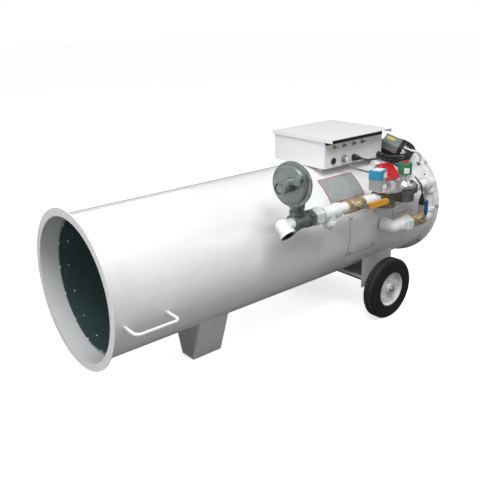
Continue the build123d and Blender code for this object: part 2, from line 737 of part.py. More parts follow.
def fitting_leg(centre, direction, reach, collar=COLLAR_R):
    centre = Vector(*centre)
    direction = Vector(*direction).normalized()
    end = centre + direction * reach
    collar_start = end - direction * COLLAR_LENGTH
    return rod(tuple(centre), tuple(end), min(collar, FITTING_R)) + rod(tuple(collar_start), tuple(end), collar)


def fitting_bore(centre, direction, reach):
    centre = Vector(*centre)
    direction = Vector(*direction).normalized()
    return rod(tuple(centre), tuple(centre + direction * (reach + 1)), BORE_R)


def elbow(centre, first, second, reaches=(ELBOW_REACH, ELBOW_REACH), collars=(COLLAR_R, COLLAR_R)):
    body = fitting_leg(centre, first, reaches[0], collars[0]) + fitting_leg(centre, second, reaches[1], collars[1])
    body += Pos(*centre) * Sphere(FITTING_R)
    bore = fitting_bore(centre, first, reaches[0]) + fitting_bore(centre, second, reaches[1])
    bore += Pos(*centre) * Sphere(BORE_R)
    return body - bore


def inlet_direction():
    return (0.0, -sin(radians(INLET_TURN)), -cos(radians(INLET_TURN)))


def pipe_elbows():
    # The inlet elbow screws straight into the regulator, and the last one reaches the shell.
    street = (REGULATOR_X[0] - INLET_X, ELBOW_REACH)
    inlet = elbow((INLET_X, TRAIN_Y, UPPER_Z), (1, 0, 0), inlet_direction(), street, (PIPE_R, COLLAR_R))
    upper = elbow((RISER_X, TRAIN_Y, UPPER_Z), (-1, 0, 0), (0, 0, -1))
    lower = elbow((RISER_X, TRAIN_Y, LOWER_Z), (-1, 0, 0), (0, 0, 1))
    entry = (ELBOW_REACH, SHELL_ELBOW_END - TRAIN_Y)
    into_shell = elbow((SHELL_ELBOW_X, TRAIN_Y, LOWER_Z), (1, 0, 0), (0, 1, 0), entry)
    return [inlet, upper, lower, into_shell]


def x_nipple(start, end, z):
    return pipe((start, TRAIN_Y, z), (end, TRAIN_Y, z), PIPE_R, BORE_R)


def pipe_nipples():
    upper = [
        (REGULATOR_X[1], UPPER_UNION_X[0]),
        (UPPER_UNION_X[1], TEE_X[0]),
        (TEE_X[1], INLET_VALVE_X[0]),
        (INLET_VALVE_X[1], SAFETY_X - SAFETY_HALF),
        (SAFETY_X + SAFETY_HALF, SOLENOID_X - SOLENOID_HALF),
        (SOLENOID_X + SOLENOID_HALF, RISER_X - ELBOW_REACH),
    ]
    pieces = [x_nipple(a, b, UPPER_Z) for a, b in upper]
    pieces.append(x_nipple(LOWER_UNION_X[1], OUTLET_VALVE_X[0], LOWER_Z))
    riser = ((RISER_X, TRAIN_Y, LOWER_Z + ELBOW_REACH), (RISER_X, TRAIN_Y, UPPER_Z - ELBOW_REACH))
    pieces.append(pipe(*riser, PIPE_R, BORE_R))
    return pieces


def union(start, end, z):
    middle = (start + end) / 2
    half = (end - start) / 4
    body = hex_bar((start, TRAIN_Y, z), (end, TRAIN_Y, z), 54.0)
    nut = hex_bar((middle - half, TRAIN_Y, z), (middle + half, TRAIN_Y, z), 64.0)
    return body + nut - rod((start - 1, TRAIN_Y, z), (end + 1, TRAIN_Y, z), BORE_R)


def pipe_unions():
    return [union(*UPPER_UNION_X, UPPER_Z), union(*LOWER_UNION_X, LOWER_Z)]


def drip_leg():
    middle = (TEE_X[0] + TEE_X[1]) / 2
    centre = (middle, TRAIN_Y, UPPER_Z)
    half = (TEE_X[1] - TEE_X[0]) / 2
    body = fitting_leg(centre, (-1, 0, 0), half) + fitting_leg(centre, (1, 0, 0), half)
    body += fitting_leg(centre, (0, 0, -1), TEE_DROP)
    bore = fitting_bore(centre, (-1, 0, 0), half) + fitting_bore(centre, (1, 0, 0), half)
    bore += fitting_bore(centre, (0, 0, -1), TEE_DROP)
    low = UPPER_Z - TEE_DROP
    plug = rod((middle, TRAIN_Y, low), (middle, TRAIN_Y, low + 14), BORE_R)
    plug += rod((middle, TRAIN_Y, low - 5), (middle, TRAIN_Y, low), PIPE_R)
    plug += block((middle - 11, TRAIN_Y - 11, low - 20), (middle + 11, TRAIN_Y + 11, low - 5))
    return [body - bore, plug]


def regulator_place():
    return Pos(REGULATOR_X[0] - 2, TRAIN_Y, REGULATOR_CASE_Z) * Rot(0, 0, REGULATOR_TURN)


def regulator_body():
    start, end = REGULATOR_X
    neck_x = REGULATOR_NECK_X
    body = rod((start, TRAIN_Y, UPPER_Z), (end, TRAIN_Y, UPPER_Z), 27.0)
    body += rod((start, TRAIN_Y, UPPER_Z), (start + 14, TRAIN_Y, UPPER_Z), 31.0)
    body += hex_bar((end - 20, TRAIN_Y, UPPER_Z), (end, TRAIN_Y, UPPER_Z), 58.0)
    body += rod((neck_x, TRAIN_Y, UPPER_Z), (neck_x, TRAIN_Y, UPPER_Z + 58), 22.0)
    body += rod((neck_x, TRAIN_Y, UPPER_Z + 31), (neck_x, TRAIN_Y, UPPER_Z + 43), 28.0)
    body += block((neck_x - 18, TRAIN_Y - 20, UPPER_Z + 50), (neck_x + 18, TRAIN_Y + 20, UPPER_Z + 95))
    body -= rod((start - 1, TRAIN_Y, UPPER_Z), (end + 1, TRAIN_Y, UPPER_Z), BORE_R)
    place = regulator_place()
    nuts = place * rod((-60, 0, 0), (REGULATOR_FLANGE + 4, 0, 0), REGULATOR_CASE_R + 1)
    dish = place * rod((0, 0, 0), (REGULATOR_REAR_DEPTH, 0, 0), REGULATOR_DISH_R)
    return body - nuts - dish


def regulator_case():
    flange = REGULATOR_FLANGE
    rear = rod((0, 0, 0), (flange, 0, 0), REGULATOR_CASE_R)
    rear += rod((0, 0, 0), (REGULATOR_REAR_DEPTH, 0, 0), REGULATOR_DISH_R)
    rear -= rod((-1, 0, 0), (REGULATOR_REAR_DEPTH - 4, 0, 0), REGULATOR_DISH_R - 5)
    front = rod((-flange, 0, 0), (-1, 0, 0), REGULATOR_CASE_R)
    face = -flange - REGULATOR_FRONT_DEPTH
    dish = rod((face, 0, 0), (-flange, 0, 0), REGULATOR_DISH_R)
    front += fillet(dish.edges().group_by(Axis.X)[0], 8.0)
    front += rod((face - 4, 0, 0), (face, 0, 0), REGULATOR_TOWER_R + 5)
    front -= rod((face + 4, 0, 0), (-0.5, 0, 0), REGULATOR_DISH_R - 5)
    mouth = -REGULATOR_TOWER_REACH
    cap = mouth + REGULATOR_TOWER_RECESS
    front += rod((mouth, 0, 0), (face + 1, 0, 0), REGULATOR_TOWER_R)
    front -= rod((cap + 4, 0, 0), (face + 5, 0, 0), REGULATOR_TOWER_R - 4)
    vent = rod((-35, -12, 14), (-35, -44, 25), 12.0) + rod((-35, -42, 26), (-35, -66, 26), 18.0)
    vent -= rod((-35, -58, 26), (-35, -67, 26), 8.0)
    front += vent - rod((cap + 4, 0, 0), (face + 5, 0, 0), REGULATOR_TOWER_R - 1)
    well = rod((mouth - 1, 0, 0), (cap, 0, 0), REGULATOR_TOWER_R - 4)
    well -= rod((cap - 5, 0, 0), (cap + 1, 0, 0), REGULATOR_TOWER_R - 8)
    front -= well
    place = regulator_place()
    return [place * rear, place * front]


def regulator_diaphragm():
    place = regulator_place()
    sheet = rod((-1, 0, 0), (0, 0, 0), REGULATOR_CASE_R - 0.5)
    spring = pipe((-REGULATOR_TOWER_REACH + REGULATOR_TOWER_RECESS + 5, 0, 0), (-3, 0, 0), 12.0, 9.5)
    plate = rod((-3, 0, 0), (-1, 0, 0), 30.0)
    return [place * sheet, place * (spring + plate)]


def ball_valve_body(start, end, stem_x, z):
    body = rod((start, TRAIN_Y, z), (end, TRAIN_Y, z), 24.0)
    body += hex_bar((start, TRAIN_Y, z), (start + 16, TRAIN_Y, z), VALVE_HEX)
    body += hex_bar((end - 18, TRAIN_Y, z), (end, TRAIN_Y, z), VALVE_HEX)
    housing = rod((stem_x - 22, TRAIN_Y, z), (stem_x + 22, TRAIN_Y, z), VALVE_HOUSING_R)
    body += fillet(housing.edges().filter_by(GeomType.CIRCLE), 3.0)
    body += rod((stem_x, TRAIN_Y, z), (stem_x, LEVER_PLANE + 6, z), 11.0)
    body -= Pos(stem_x, TRAIN_Y, z) * Sphere(BALL_R + 0.4)
    body -= rod((start - 1, TRAIN_Y, z), (end + 1, TRAIN_Y, z), BORE_R - 2)
    body -= rod((stem_x, TRAIN_Y, z), (stem_x, LEVER_PLANE - 5, z), STEM_R + RUNNING_GAP)
    return body


def ball_valve_bodies():
    first = ball_valve_body(*INLET_VALVE_X, INLET_STEM_X, UPPER_Z)
    second = ball_valve_body(*OUTLET_VALVE_X, OUTLET_STEM_X, LOWER_Z)
    return [first, second]


def valve_handle(grip_start, grip_end, width):
    # Drawn about the stem's axis with the handle along +X: ball and stem, cranked blade, grip.
    # The ball's port runs along the handle.
    out = LEVER_PLANE - TRAIN_Y
    ball = Sphere(BALL_R) + rod((0, 0, 0), (0, out - LEVER_SHEET - 6, 0), STEM_R)
    ball -= rod((-BALL_R - 1, 0, 0), (BALL_R + 1, 0, 0), BORE_R - 3)
    half = width / 2
    inner = out - LEVER_SHEET
    blade = block((-12, inner, -half), (20, out, half))
    crank = [(18, inner), (18, out), (grip_start - 4, out - LEVER_CRANK), (grip_start - 4, inner - LEVER_CRANK)]
    slope = make_face(Polyline(*[(x, y, -half) for x, y in crank], close=True))
    blade += extrude(slope, width, dir=(0, 0, 1))
    blade += block((grip_start - 6, inner - LEVER_CRANK, -half), (grip_end - 6, out - LEVER_CRANK, half))
    blade -= rod((0, 0, 0), (0, inner - 5, 0), STEM_R)
    nut = hex_bar((0, inner, 0), (0, inner - 4, 0), 14.0) - rod((0, 0, 0), (0, inner - 9, 0), STEM_R)
    middle = out - LEVER_CRANK - LEVER_SHEET / 2
    grip = block((grip_start, middle - 4.5, -half - 2), (grip_end, middle + 4.5, half + 2))
    grip += rod((grip_end, middle - 4.5, 0), (grip_end, middle + 4.5, 0), half + 2)
    grip = grip - blade
    return [ball, blade, nut, grip]


def inlet_lever():
    place = Pos(INLET_STEM_X, TRAIN_Y, UPPER_Z)
    return [place * piece for piece in valve_handle(39.0, 134.0, 18.0)]


def outlet_lever():
    place = Pos(OUTLET_STEM_X, TRAIN_Y, LOWER_Z) * Rot(0, -90, 0)
    return [place * piece for piece in valve_handle(34.0, 88.0, 11.0)]


def safety_valve():
    run = rod((SAFETY_X - SAFETY_HALF, TRAIN_Y, UPPER_Z), (SAFETY_X + SAFETY_HALF, TRAIN_Y, UPPER_Z), 28.0)
    for start in (SAFETY_X - SAFETY_HALF, SAFETY_X + SAFETY_HALF - 16):
        run += hex_bar((start, TRAIN_Y, UPPER_Z), (start + 16, TRAIN_Y, UPPER_Z), 58.0)
    barrel = rod((SAFETY_X, TRAIN_Y, 104), (SAFETY_X, TRAIN_Y, SAFETY_DISC_Z[0]), 40.0)
    bore = rod((SAFETY_X - 70, TRAIN_Y, UPPER_Z), (SAFETY_X + 70, TRAIN_Y, UPPER_Z), BORE_R)
    seat = rod((SAFETY_X, TRAIN_Y, SAFETY_DISC_Z[0]), (SAFETY_X, TRAIN_Y, 200), SAFETY_DISC_R + 1)
    heads = Part()
    for x, y in safety_screw_places():
        heads += rod((x, y, SAFETY_DISC_Z[0] - 6), (x, y, 200), 7.0)
    return run + barrel - bore - seat - heads


def safety_screw_places():
    reach = SAFETY_DISC_R - 10
    places = [(cos(radians(a)), sin(radians(a))) for a in around(4, 45.0)]
    return [(SAFETY_X + reach * c, TRAIN_Y + reach * k) for c, k in places]


def safety_actuator():
    disc = rod((SAFETY_X, TRAIN_Y, SAFETY_DISC_Z[0]), (SAFETY_X, TRAIN_Y, SAFETY_DISC_Z[1]), SAFETY_DISC_R)
    for x, y in safety_screw_places():
        disc += hex_bar((x, y, SAFETY_DISC_Z[0] - 5), (x, y, SAFETY_DISC_Z[0]), 10.0)
    low, high = ACTUATOR_Z
    column = Pos(ACTUATOR_X, TRAIN_Y, (low + high) / 2) * Rot(0, 0, ACTUATOR_TURN) * Box(
        ACTUATOR_SIZE[0] - 2, ACTUATOR_SIZE[1] - 2, high - low
    )
    column = fillet(column.edges().filter_by(Axis.Z), 5.0)
    boss_x = SAFETY_X + 34
    base = SAFETY_DISC_Z[1]
    boss = rod((boss_x, TRAIN_Y, base), (boss_x, TRAIN_Y, base + 17), 13.0)
    for step in range(3):
        boss += rod((boss_x, TRAIN_Y, base + 1 + 6 * step), (boss_x, TRAIN_Y, base + 4 + 6 * step), 16.0)
    return [disc, column, boss]


def safety_cover():
    low = ACTUATOR_Z[1]
    cover = Pos(ACTUATOR_X, TRAIN_Y, (low + COVER_TOP_Z) / 2) * Rot(0, 0, ACTUATOR_TURN) * Box(
        ACTUATOR_SIZE[0], ACTUATOR_SIZE[1], COVER_TOP_Z - low
    )
    return fillet(cover.edges().filter_by(Axis.Z) + cover.edges().group_by(Axis.Z)[-1], 3.0)


def solenoid_body():
    run = rod((SOLENOID_X - SOLENOID_HALF, TRAIN_Y, UPPER_Z), (SOLENOID_X + SOLENOID_HALF, TRAIN_Y, UPPER_Z), 27.0)
    for start in (SOLENOID_X - SOLENOID_HALF, SOLENOID_X + SOLENOID_HALF - 16):
        run += hex_bar((start, TRAIN_Y, UPPER_Z), (start + 16, TRAIN_Y, UPPER_Z), 56.0)
    barrel = rod((SOLENOID_X, TRAIN_Y, 106), (SOLENOID_X, TRAIN_Y, SOLENOID_DISC_Z[0]), 43.0)
    bore = rod((SOLENOID_X - 70, TRAIN_Y, UPPER_Z), (SOLENOID_X + 70, TRAIN_Y, UPPER_Z), BORE_R)
    seat = rod((SOLENOID_X, TRAIN_Y, SOLENOID_DISC_Z[0]), (SOLENOID_X, TRAIN_Y, 200), SOLENOID_DISC_R + 1)
    near = rod((SAFETY_X, TRAIN_Y, SAFETY_DISC_Z[0] - 1), (SAFETY_X, TRAIN_Y, 200), SAFETY_DISC_R + 1)
    return run + barrel - bore - seat - near


def solenoid_bonnet():
    low, high = SOLENOID_DISC_Z
    disc = rod((SOLENOID_X, TRAIN_Y, low), (SOLENOID_X, TRAIN_Y, high), SOLENOID_DISC_R)
    for angle in around(6, 30.0):
        x = SOLENOID_X + 40 * cos(radians(angle))
        y = TRAIN_Y + 40 * sin(radians(angle))
        disc += hex_bar((x, y, high), (x, y, high + 5), 10.0)
    skirt = 15.0
    disc += Pos(SOLENOID_X, TRAIN_Y, high + skirt / 2) * Cone(33, 22, skirt)
    neck_base = high + skirt
    neck_height = COIL_HOUSING_Z[0] - neck_base
    disc += Pos(SOLENOID_X, TRAIN_Y, neck_base + neck_height / 2) * Cone(22, 14, neck_height)
    return disc


def solenoid_coil():
    low, high = COIL_HOUSING_Z
    drum = rod((SOLENOID_X, TRAIN_Y, low), (SOLENOID_X, TRAIN_Y, high), COIL_HOUSING_R)
    drum = fillet(drum.edges().filter_by(GeomType.CIRCLE), 3.0)
    hub = rod((SOLENOID_X, TRAIN_Y, (low + high) / 2), (SOLENOID_X + 26, TRAIN_Y + 28, (low + high) / 2), 9.0)
    cap = rod((SOLENOID_X, TRAIN_Y, high), (SOLENOID_X, TRAIN_Y, high + 5), 12.0)
    cap = fillet(cap.edges().group_by(Axis.Z)[-1], 1.5)
    return [drum + hub, cap]


def pressure_switch():
    # A small switch screwed into the end of the lower valve, with a moulded boot over its terminals.
    neck = rod((SWITCH_X, TRAIN_Y, LOWER_Z + VALVE_HEX / 2 - 2), (SWITCH_X, TRAIN_Y, SWITCH_HEX_Z), 5.0)
    neck -= hex_bar((SWITCH_X - 10, TRAIN_Y, LOWER_Z), (SWITCH_X + 10, TRAIN_Y, LOWER_Z), VALVE_HEX)
    hexagon = hex_bar((SWITCH_X, TRAIN_Y, SWITCH_HEX_Z), (SWITCH_X, TRAIN_Y, SWITCH_HEX_Z + 9), 20.0)
    body = rod((SWITCH_X, TRAIN_Y, SWITCH_HEX_Z + 9), (SWITCH_X, TRAIN_Y, SWITCH_BOOT_Z), 10.0)
    boot = Pos(SWITCH_X, TRAIN_Y, SWITCH_BOOT_Z + 13) * Cone(12.5, 11.0, 26)
    boot += Pos(SWITCH_X, TRAIN_Y, SWITCH_BOOT_Z + 26 + 10) * Cone(8.5, 4.5, 20)
    return [neck + hexagon + body, boot]


def boot_top():
    return SWITCH_BOOT_Z + 46


# Electrics on the shell


def flame_safeguard():
    long, across, high = SAFEGUARD_SIZE
    cover = on_shell(SAFEGUARD_X, SAFEGUARD_ANGLE, SHELL_R) * Pos(0, 0, high / 2) * Box(long, across, high)
    cover = fillet(cover.edges(), 4.0)
    long, across, high = SAFEGUARD_BASE_SIZE
    place = on_shell(SAFEGUARD_BASE_X, SAFEGUARD_BASE_ANGLE, SHELL_R)
    base = place * Pos(0, 0, high / 2) * Box(long, across, high)
    return [cover, fillet(base.edges().filter_by(Axis.X), 3.0)]


def transformer_place():
    return on_shell(TRANSFORMER_X, TRANSFORMER_ANGLE, TRANSFORMER_BASE_R)


def transformer():
    long, across, high = TRANSFORMER_SIZE
    turn = Rot(0, 0, TRANSFORMER_TURN)
    case = Box(long, across, high)
    case = fillet(case.edges(), 3.0)
    case = transformer_place() * turn * Pos(0, 0, high / 2) * case
    cap = Pos(0, -across / 2 - TRANSFORMER_CAP / 2, high / 2) * Box(long - 8, TRANSFORMER_CAP, high - 6)
    cap = transformer_place() * turn * cap
    posts = []
    for x in TERMINAL_X:
        start = (x, -across / 2 - TRANSFORMER_CAP, high / 2)
        end = (x, -across / 2 - TRANSFORMER_CAP - TERMINAL_LENGTH, high / 2)
        post = rod(start, end, 6.0)
        posts.append(transformer_place() * turn * post)
    return [case, cap] + posts


def transformer_bracket():
    pieces = Part()
    place = on_shell(0.0, TRANSFORMER_ANGLE, 0.0)
    for start, end, half in TRANSFORMER_LEGS:
        leg = block((start, -half, SHELL_R - 8), (end, half, TRANSFORMER_BASE_R - 3))
        pieces += place * leg
    bar = block((TRANSFORMER_BAR_X[0], -8, TRANSFORMER_BASE_R - 3), (TRANSFORMER_BAR_X[1], 8, TRANSFORMER_BASE_R))
    pieces += place * bar
    return pieces - shell_hull()


# Cords


def coil_point(turn):
    # Turns run in layers from the outside in and out again, and each layer starts with a climb.
    per_layer = COIL_TURNS / COIL_LAYERS
    layer = min(int(turn / per_layer), COIL_LAYERS - 1)
    share = turn / per_layer - layer
    step = COIL_PITCH * per_layer
    spread = step * (1 - share) if layer % 2 == 0 else step * share
    height = COIL_BASE_R + COIL_PITCH * (COIL_LAYERS - 1)
    for k in range(1, COIL_LAYERS):
        climb = (turn - (k * per_layer - 0.25)) / 0.5
        height -= COIL_PITCH * min(max(climb, 0.0), 1.0)
    across = COIL_HALF_ACROSS + spread
    along = COIL_HALF_ALONG + spread
    angle = 2 * pi * turn
    local = Vector(along * sin(angle), -across * cos(angle), height)
    return on_shell(COIL_X, COIL_ANGLE, 0.0).from_local_coords(local)


def coil_tangent(turn):
    step = 0.002
    return (coil_point(min(turn + step, COIL_TURNS)) - coil_point(max(turn - step, 0.0))).normalized()


def biarc(start, start_dir, end, end_dir):
    # Two arcs that meet smoothly between two points with given directions.
    chord = end - start
    both = start_dir + end_dir
    spread = 2 * (1 - start_dir.dot(end_dir))
    lead = (-chord.dot(both) + sqrt(chord.dot(both) ** 2 + spread * chord.dot(chord))) / spread
    first = start + start_dir * lead
    second = end - end_dir * lead
    joint = (first + second) * 0.5
    return [
        Edge.make_tangent_arc(start, start_dir, joint),
        Edge.make_tangent_arc(joint, (second - first).normalized(), end),
    ]


def coil_ends():
    # Centre of each end face, one cord diameter beyond the first and last turn.
    start = coil_point(0.0) - coil_tangent(0.0) * (2 * CORD_R)
    end = coil_point(COIL_TURNS) + coil_tangent(COIL_TURNS) * (2 * CORD_R)
    return start, end


def cord_coil():
    quarters = int(COIL_TURNS * 4)
    knots = [0.25 * k for k in range(quarters + 1)]
    start, end = coil_ends()
    edges = [Edge.make_line(start, coil_point(0.0))]
    for a, b in zip(knots, knots[1:]):
        edges += biarc(coil_point(a), coil_tangent(a), coil_point(b), coil_tangent(b))
    edges.append(Edge.make_line(coil_point(COIL_TURNS), end))
    path = Wire(edges)
    section = Plane(origin=start, z_dir=coil_tangent(0.0)) * Circle(CORD_R)
    tube = sweep(section, path=path)
    samples = []
    for edge in edges:
        samples += [edge @ (k / 12) for k in range(12)]
    apart = len(samples) // (2 * int(COIL_TURNS + 1))
    gap = min(
        (p - q).length for i, p in enumerate(samples) for q in samples[i + apart:]
    ) - 2 * CORD_R
    length = sum(e.length for e in edges)
    print("cord_coil loops", COIL_TURNS, "least gap", round(gap, 2), "length", round(length, 1))
    print("cord_coil volume ratio", round(tube.volume / (pi * CORD_R**2 * length), 4))
    return tube


def cord_lead_points():
    start, _ = coil_ends()
    x, z = GLAND_PLACES[1]
    y = -BOX_HALF - GLAND_REACH
    return [
        (x, y, z),
        (x, y - 18, z),
        (x + 12, y - 42, z - 3),
        (x + 42, y - 56, z - 9),
        (x + 78, y - 45, z - 17),
        tuple(start - coil_tangent(0.0) * 34),
        tuple(start),
    ]


def cord_tail_points():
    _, end = coil_ends()
    heading = coil_tangent(COIL_TURNS)
    return [
        tuple(end),
        tuple(end + heading * 36),
        (1429.0, 4.0, 260.0),
        (1420.0, 50.0, 255.5),
        PLUG_START,
    ]


def power_plug():
    # Moulded three-pin plug that lies on the shell behind the control box.
    heading = Vector(*PLUG_START) - Vector(*cord_tail_points()[-2])
    place = Plane(origin=PLUG_START, x_dir=(1, 0, 0), z_dir=heading)
    body = place * Pos(0, 0, 6) * Cone(7.0, 11.0, 12.0)
    body += place * Pos(0, 0, 24) * Cylinder(12.5, 24.0)
    for x in (-6.0, 6.0):
        body += place * Pos(x, 3.0, 44) * Box(1.6, 6.4, 18.0)
    body += place * Pos(0, -6.0, 45) * Cylinder(2.4, 20.0)
    return body


def switch_lead_points():
    x, z = GLAND_PLACES[0]
    y = -BOX_HALF - GLAND_REACH
    top = boot_top()
    return [
        (x, y, z),
        (x, y - 22, z),
        (x + 29, y - 45, z - 7),
        (x + 89, y - 46, z - 3),
        (x + 123, y - 64, z - 28),
        (x + 150, y - 84, z - 46),
        (x + 185, y - 106, z - 69),
        (x + 193, y - 136, z - 85),
        (x + 193, TRAIN_Y - 29, UPPER_Z + 13),
        (x + 202, TRAIN_Y - 26, UPPER_Z - 20),
        (x + 228, TRAIN_Y - 12, top + 14),
        (SWITCH_X, TRAIN_Y, top + 13),
        (SWITCH_X, TRAIN_Y, top),
    ]


def flex_conduit_points():
    # From the box's elbow connector out and round to the rear of the actuator's cover.
    turn = radians(ACTUATOR_TURN)
    along = Vector(cos(turn), sin(turn), 0)
    back = Vector(-sin(turn), cos(turn), 0)
    face = Vector(ACTUATOR_X, TRAIN_Y, ACTUATOR_Z[1] + 25) + back * ACTUATOR_SIZE[1] / 2 - along * 15.0
    ahead = face + back * 16.0
    start = Vector(*conduit_end())
    heading = Vector(*conduit_heading())
    return [
        tuple(start),
        tuple(start + heading * 12),
        (1154.0, -198.0, 241.0),
        (1150.0, -228.0, 241.0),
        (1137.0, -256.0, 246.0),
        tuple(ahead),
        tuple(face),
    ]


def conduit_heading():
    lean = radians(30.0)
    return (sin(lean) / 3, -sin(lean), -cos(lean))


def conduit_end():
    corner = Vector(CONDUIT_X, -BOX_HALF - 18, CONDUIT_Z)
    return tuple(corner + Vector(*conduit_heading()).normalized() * 20)


def ht_lead_points():
    place = transformer_place() * Rot(0, 0, TRANSFORMER_TURN)
    long, across, high = TRANSFORMER_SIZE
    reach = across / 2 + TRANSFORMER_CAP + TERMINAL_LENGTH
    start = place * Pos(TERMINAL_X[1], -reach, high / 2)
    ahead = place * Pos(TERMINAL_X[1], -reach - 20, high / 2)
    end = Vector(*grommet_place())
    out = Vector(0, end.Y, end.Z).normalized()
    return [
        tuple(start.position),
        tuple(ahead.position),
        (1528.0, -214.0, 256.0),
        (1556.0, -212.0, 236.0),
        tuple(end + out * 26 + Vector(-16, 0, 0)),
        tuple(end + out * 14),
        tuple(end),
    ]


def grommet_place():
    angle = radians(GROMMET_ANGLE)
    return (GROMMET_X, -SHELL_R * cos(angle), SHELL_R * sin(angle))


def shell_grommet():
    end = Vector(*grommet_place())
    out = Vector(0, end.Y, end.Z).normalized()
    ring = pipe(tuple(end - out * 4), tuple(end + out * 4), 9.0, HT_LEAD_R + RUNNING_GAP)
    return ring - shell_hull()


# Writing


def row_place():
    middle_x = (SHELL_LENGTH + 4 * GUARD_WIRE_R - GUARD_WELD) / 2
    turn = radians(REGULATOR_TURN)
    near = TRAIN_Y - REGULATOR_CASE_R * cos(turn) - REGULATOR_FLANGE * sin(turn)
    far = HANDLE_REACH + HANDLE_R
    return Pos(-middle_x, -(near + far) / 2, AXIS_HEIGHT)


def save(name, shapes):
    if not isinstance(shapes, (list, tuple)):
        shapes = [shapes]
    solids = [row_place() * solid for shape in shapes for solid in shape.solids()]
    piece = solids[0] if len(solids) == 1 else Compound(children=solids)
    export_step(piece, os.path.join(PARTS, name + ".step"))


def main():
    os.makedirs("parts", exist_ok=True)
    save("outer_shell", outer_shell())
    save("outlet_flange", outlet_flange())
    save("rear_ring", rear_ring())
    save("intake_guard", intake_guard())
    save("hex_bolts", hex_bolts())
    save("access_door", access_door())
    save("inner_liner", inner_liner())
    save("burner_cone", burner_cone())
    save("burner_baffle", burner_baffle())
    save("gas_injector", gas_injector())
    save("electrodes", electrodes())
    save("fan_motor", fan_motor())
    save("motor_mount", motor_mount())
    save("fan_rotor", fan_rotor())
    save("front_foot", front_foot())
    save("axle_bracket", axle_bracket())
    save("axle", axle())
    for name, side in (("left", -1), ("right", 1)):
        save(name + "_tyre", tyre(side))
        save(name + "_rim", rim(side))
    save("side_handles", side_handles())
    save("control_box", control_box())
    save("box_lid", box_lid())
    save("box_gasket", box_gasket())
    save("box_internals", box_internals())
    save("switch_bushings", switch_bushings())
    for k, x in enumerate(TOGGLE_X):
        save("toggle_" + str(k + 1), toggle(x))
    save("push_button", push_button())
    save("box_glands", box_glands())
    save("pipe_elbows", pipe_elbows())
    save("pipe_nipples", pipe_nipples())
    save("pipe_unions", pipe_unions())
    save("drip_leg", drip_leg())
    save("regulator_body", regulator_body())
    save("regulator_case", regulator_case())
    save("regulator_diaphragm", regulator_diaphragm())
    save("ball_valve_bodies", ball_valve_bodies())
    save("inlet_lever", inlet_lever())
    save("outlet_lever", outlet_lever())
    save("safety_valve", safety_valve())
    save("safety_actuator", safety_actuator())
    save("safety_cover", safety_cover())
    save("solenoid_body", solenoid_body())
    save("solenoid_bonnet", solenoid_bonnet())
    save("solenoid_coil", solenoid_coil())
    save("pressure_switch", pressure_switch())
    save("flame_safeguard", flame_safeguard())
    save("transformer", transformer())
    save("transformer_bracket", transformer_bracket())
    save("cord_coil", cord_coil())
    save("cord_lead", cord("cord_lead", cord_lead_points(), CORD_R))
    save("cord_tail", cord("cord_tail", cord_tail_points(), CORD_R))
    save("power_plug", power_plug())
    save("switch_lead", cord("switch_lead", switch_lead_points(), SWITCH_LEAD_R))
    save("flex_conduit", cord("flex_conduit", flex_conduit_points(), CONDUIT_R))
    save("ht_lead", cord("ht_lead", ht_lead_points(), HT_LEAD_R))


main()
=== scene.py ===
import json
from math import cos, pi, radians, sin, sqrt

import bmesh
import bpy
from mathutils import Matrix, Vector

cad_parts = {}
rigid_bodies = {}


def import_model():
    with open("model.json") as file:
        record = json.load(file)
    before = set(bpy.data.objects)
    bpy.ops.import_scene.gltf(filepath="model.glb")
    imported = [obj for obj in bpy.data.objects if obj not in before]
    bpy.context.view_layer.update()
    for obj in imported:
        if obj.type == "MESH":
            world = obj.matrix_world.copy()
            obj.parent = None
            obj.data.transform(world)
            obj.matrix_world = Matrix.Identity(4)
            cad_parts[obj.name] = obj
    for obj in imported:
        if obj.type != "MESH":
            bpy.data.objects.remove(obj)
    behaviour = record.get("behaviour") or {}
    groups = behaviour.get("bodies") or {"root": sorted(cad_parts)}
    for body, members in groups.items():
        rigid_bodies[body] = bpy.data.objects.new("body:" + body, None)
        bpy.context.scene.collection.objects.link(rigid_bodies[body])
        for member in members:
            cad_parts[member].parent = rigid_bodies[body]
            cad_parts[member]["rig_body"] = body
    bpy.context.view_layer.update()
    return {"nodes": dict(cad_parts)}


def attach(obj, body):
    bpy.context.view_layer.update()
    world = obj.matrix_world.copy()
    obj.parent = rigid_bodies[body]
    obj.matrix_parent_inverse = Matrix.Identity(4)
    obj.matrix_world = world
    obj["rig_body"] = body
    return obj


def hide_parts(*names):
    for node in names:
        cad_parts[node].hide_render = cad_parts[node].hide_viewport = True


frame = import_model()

# The casing's axis in the row frame: a point at tube(x, y, z) lies x behind the outlet,
# y to the far side and z above the axis. All lengths are in metres, and named angles in degrees.
AXIS = Vector((-0.82649, 0.0344975, 0.4135))
SHELL_R = 0.25
LINER_INSIDE_R = 0.2348
TRAIN_Y = -0.310

# The open leg of the elbow where the gas comes in: where it starts, its tilt and its bore.
INLET_START = Vector((0.645, TRAIN_Y, 0.147))
INLET_TILT = 48
INLET_DEPTH = 0.004
INLET_BORE_R = 0.0182

# The coil of the mains cord. COIL_HALF is the inmost turn's half length and half width,
# COIL_HEIGHT is the lowest layer's distance from the axis, and COIL_LEAN is its place round the casing.
COIL_TURNS = 5.5
COIL_LAYERS = 4
COIL_PITCH = 0.0114
COIL_X = 1.508
COIL_HALF = (0.084, 0.054)
COIL_SWELL = 1.019
COIL_HEIGHT = 0.2590
COIL_LEAN = 65.5
COIL_CLIMB_TURNS = 0.5

# The valve cover is turned about the upright, and the transformer leans round the casing on its base.
COVER_X = 1.146
COVER_TURN = 14.0
COVER_HALF_DEPTH = 0.0255
TRANSFORMER_LEAN = 65.1
TRANSFORMER_TURN = 26.0

RIVET_ROWS_X = (0.0656, 0.1000)
RIVET_ANGLES = range(-154, 183, 24)

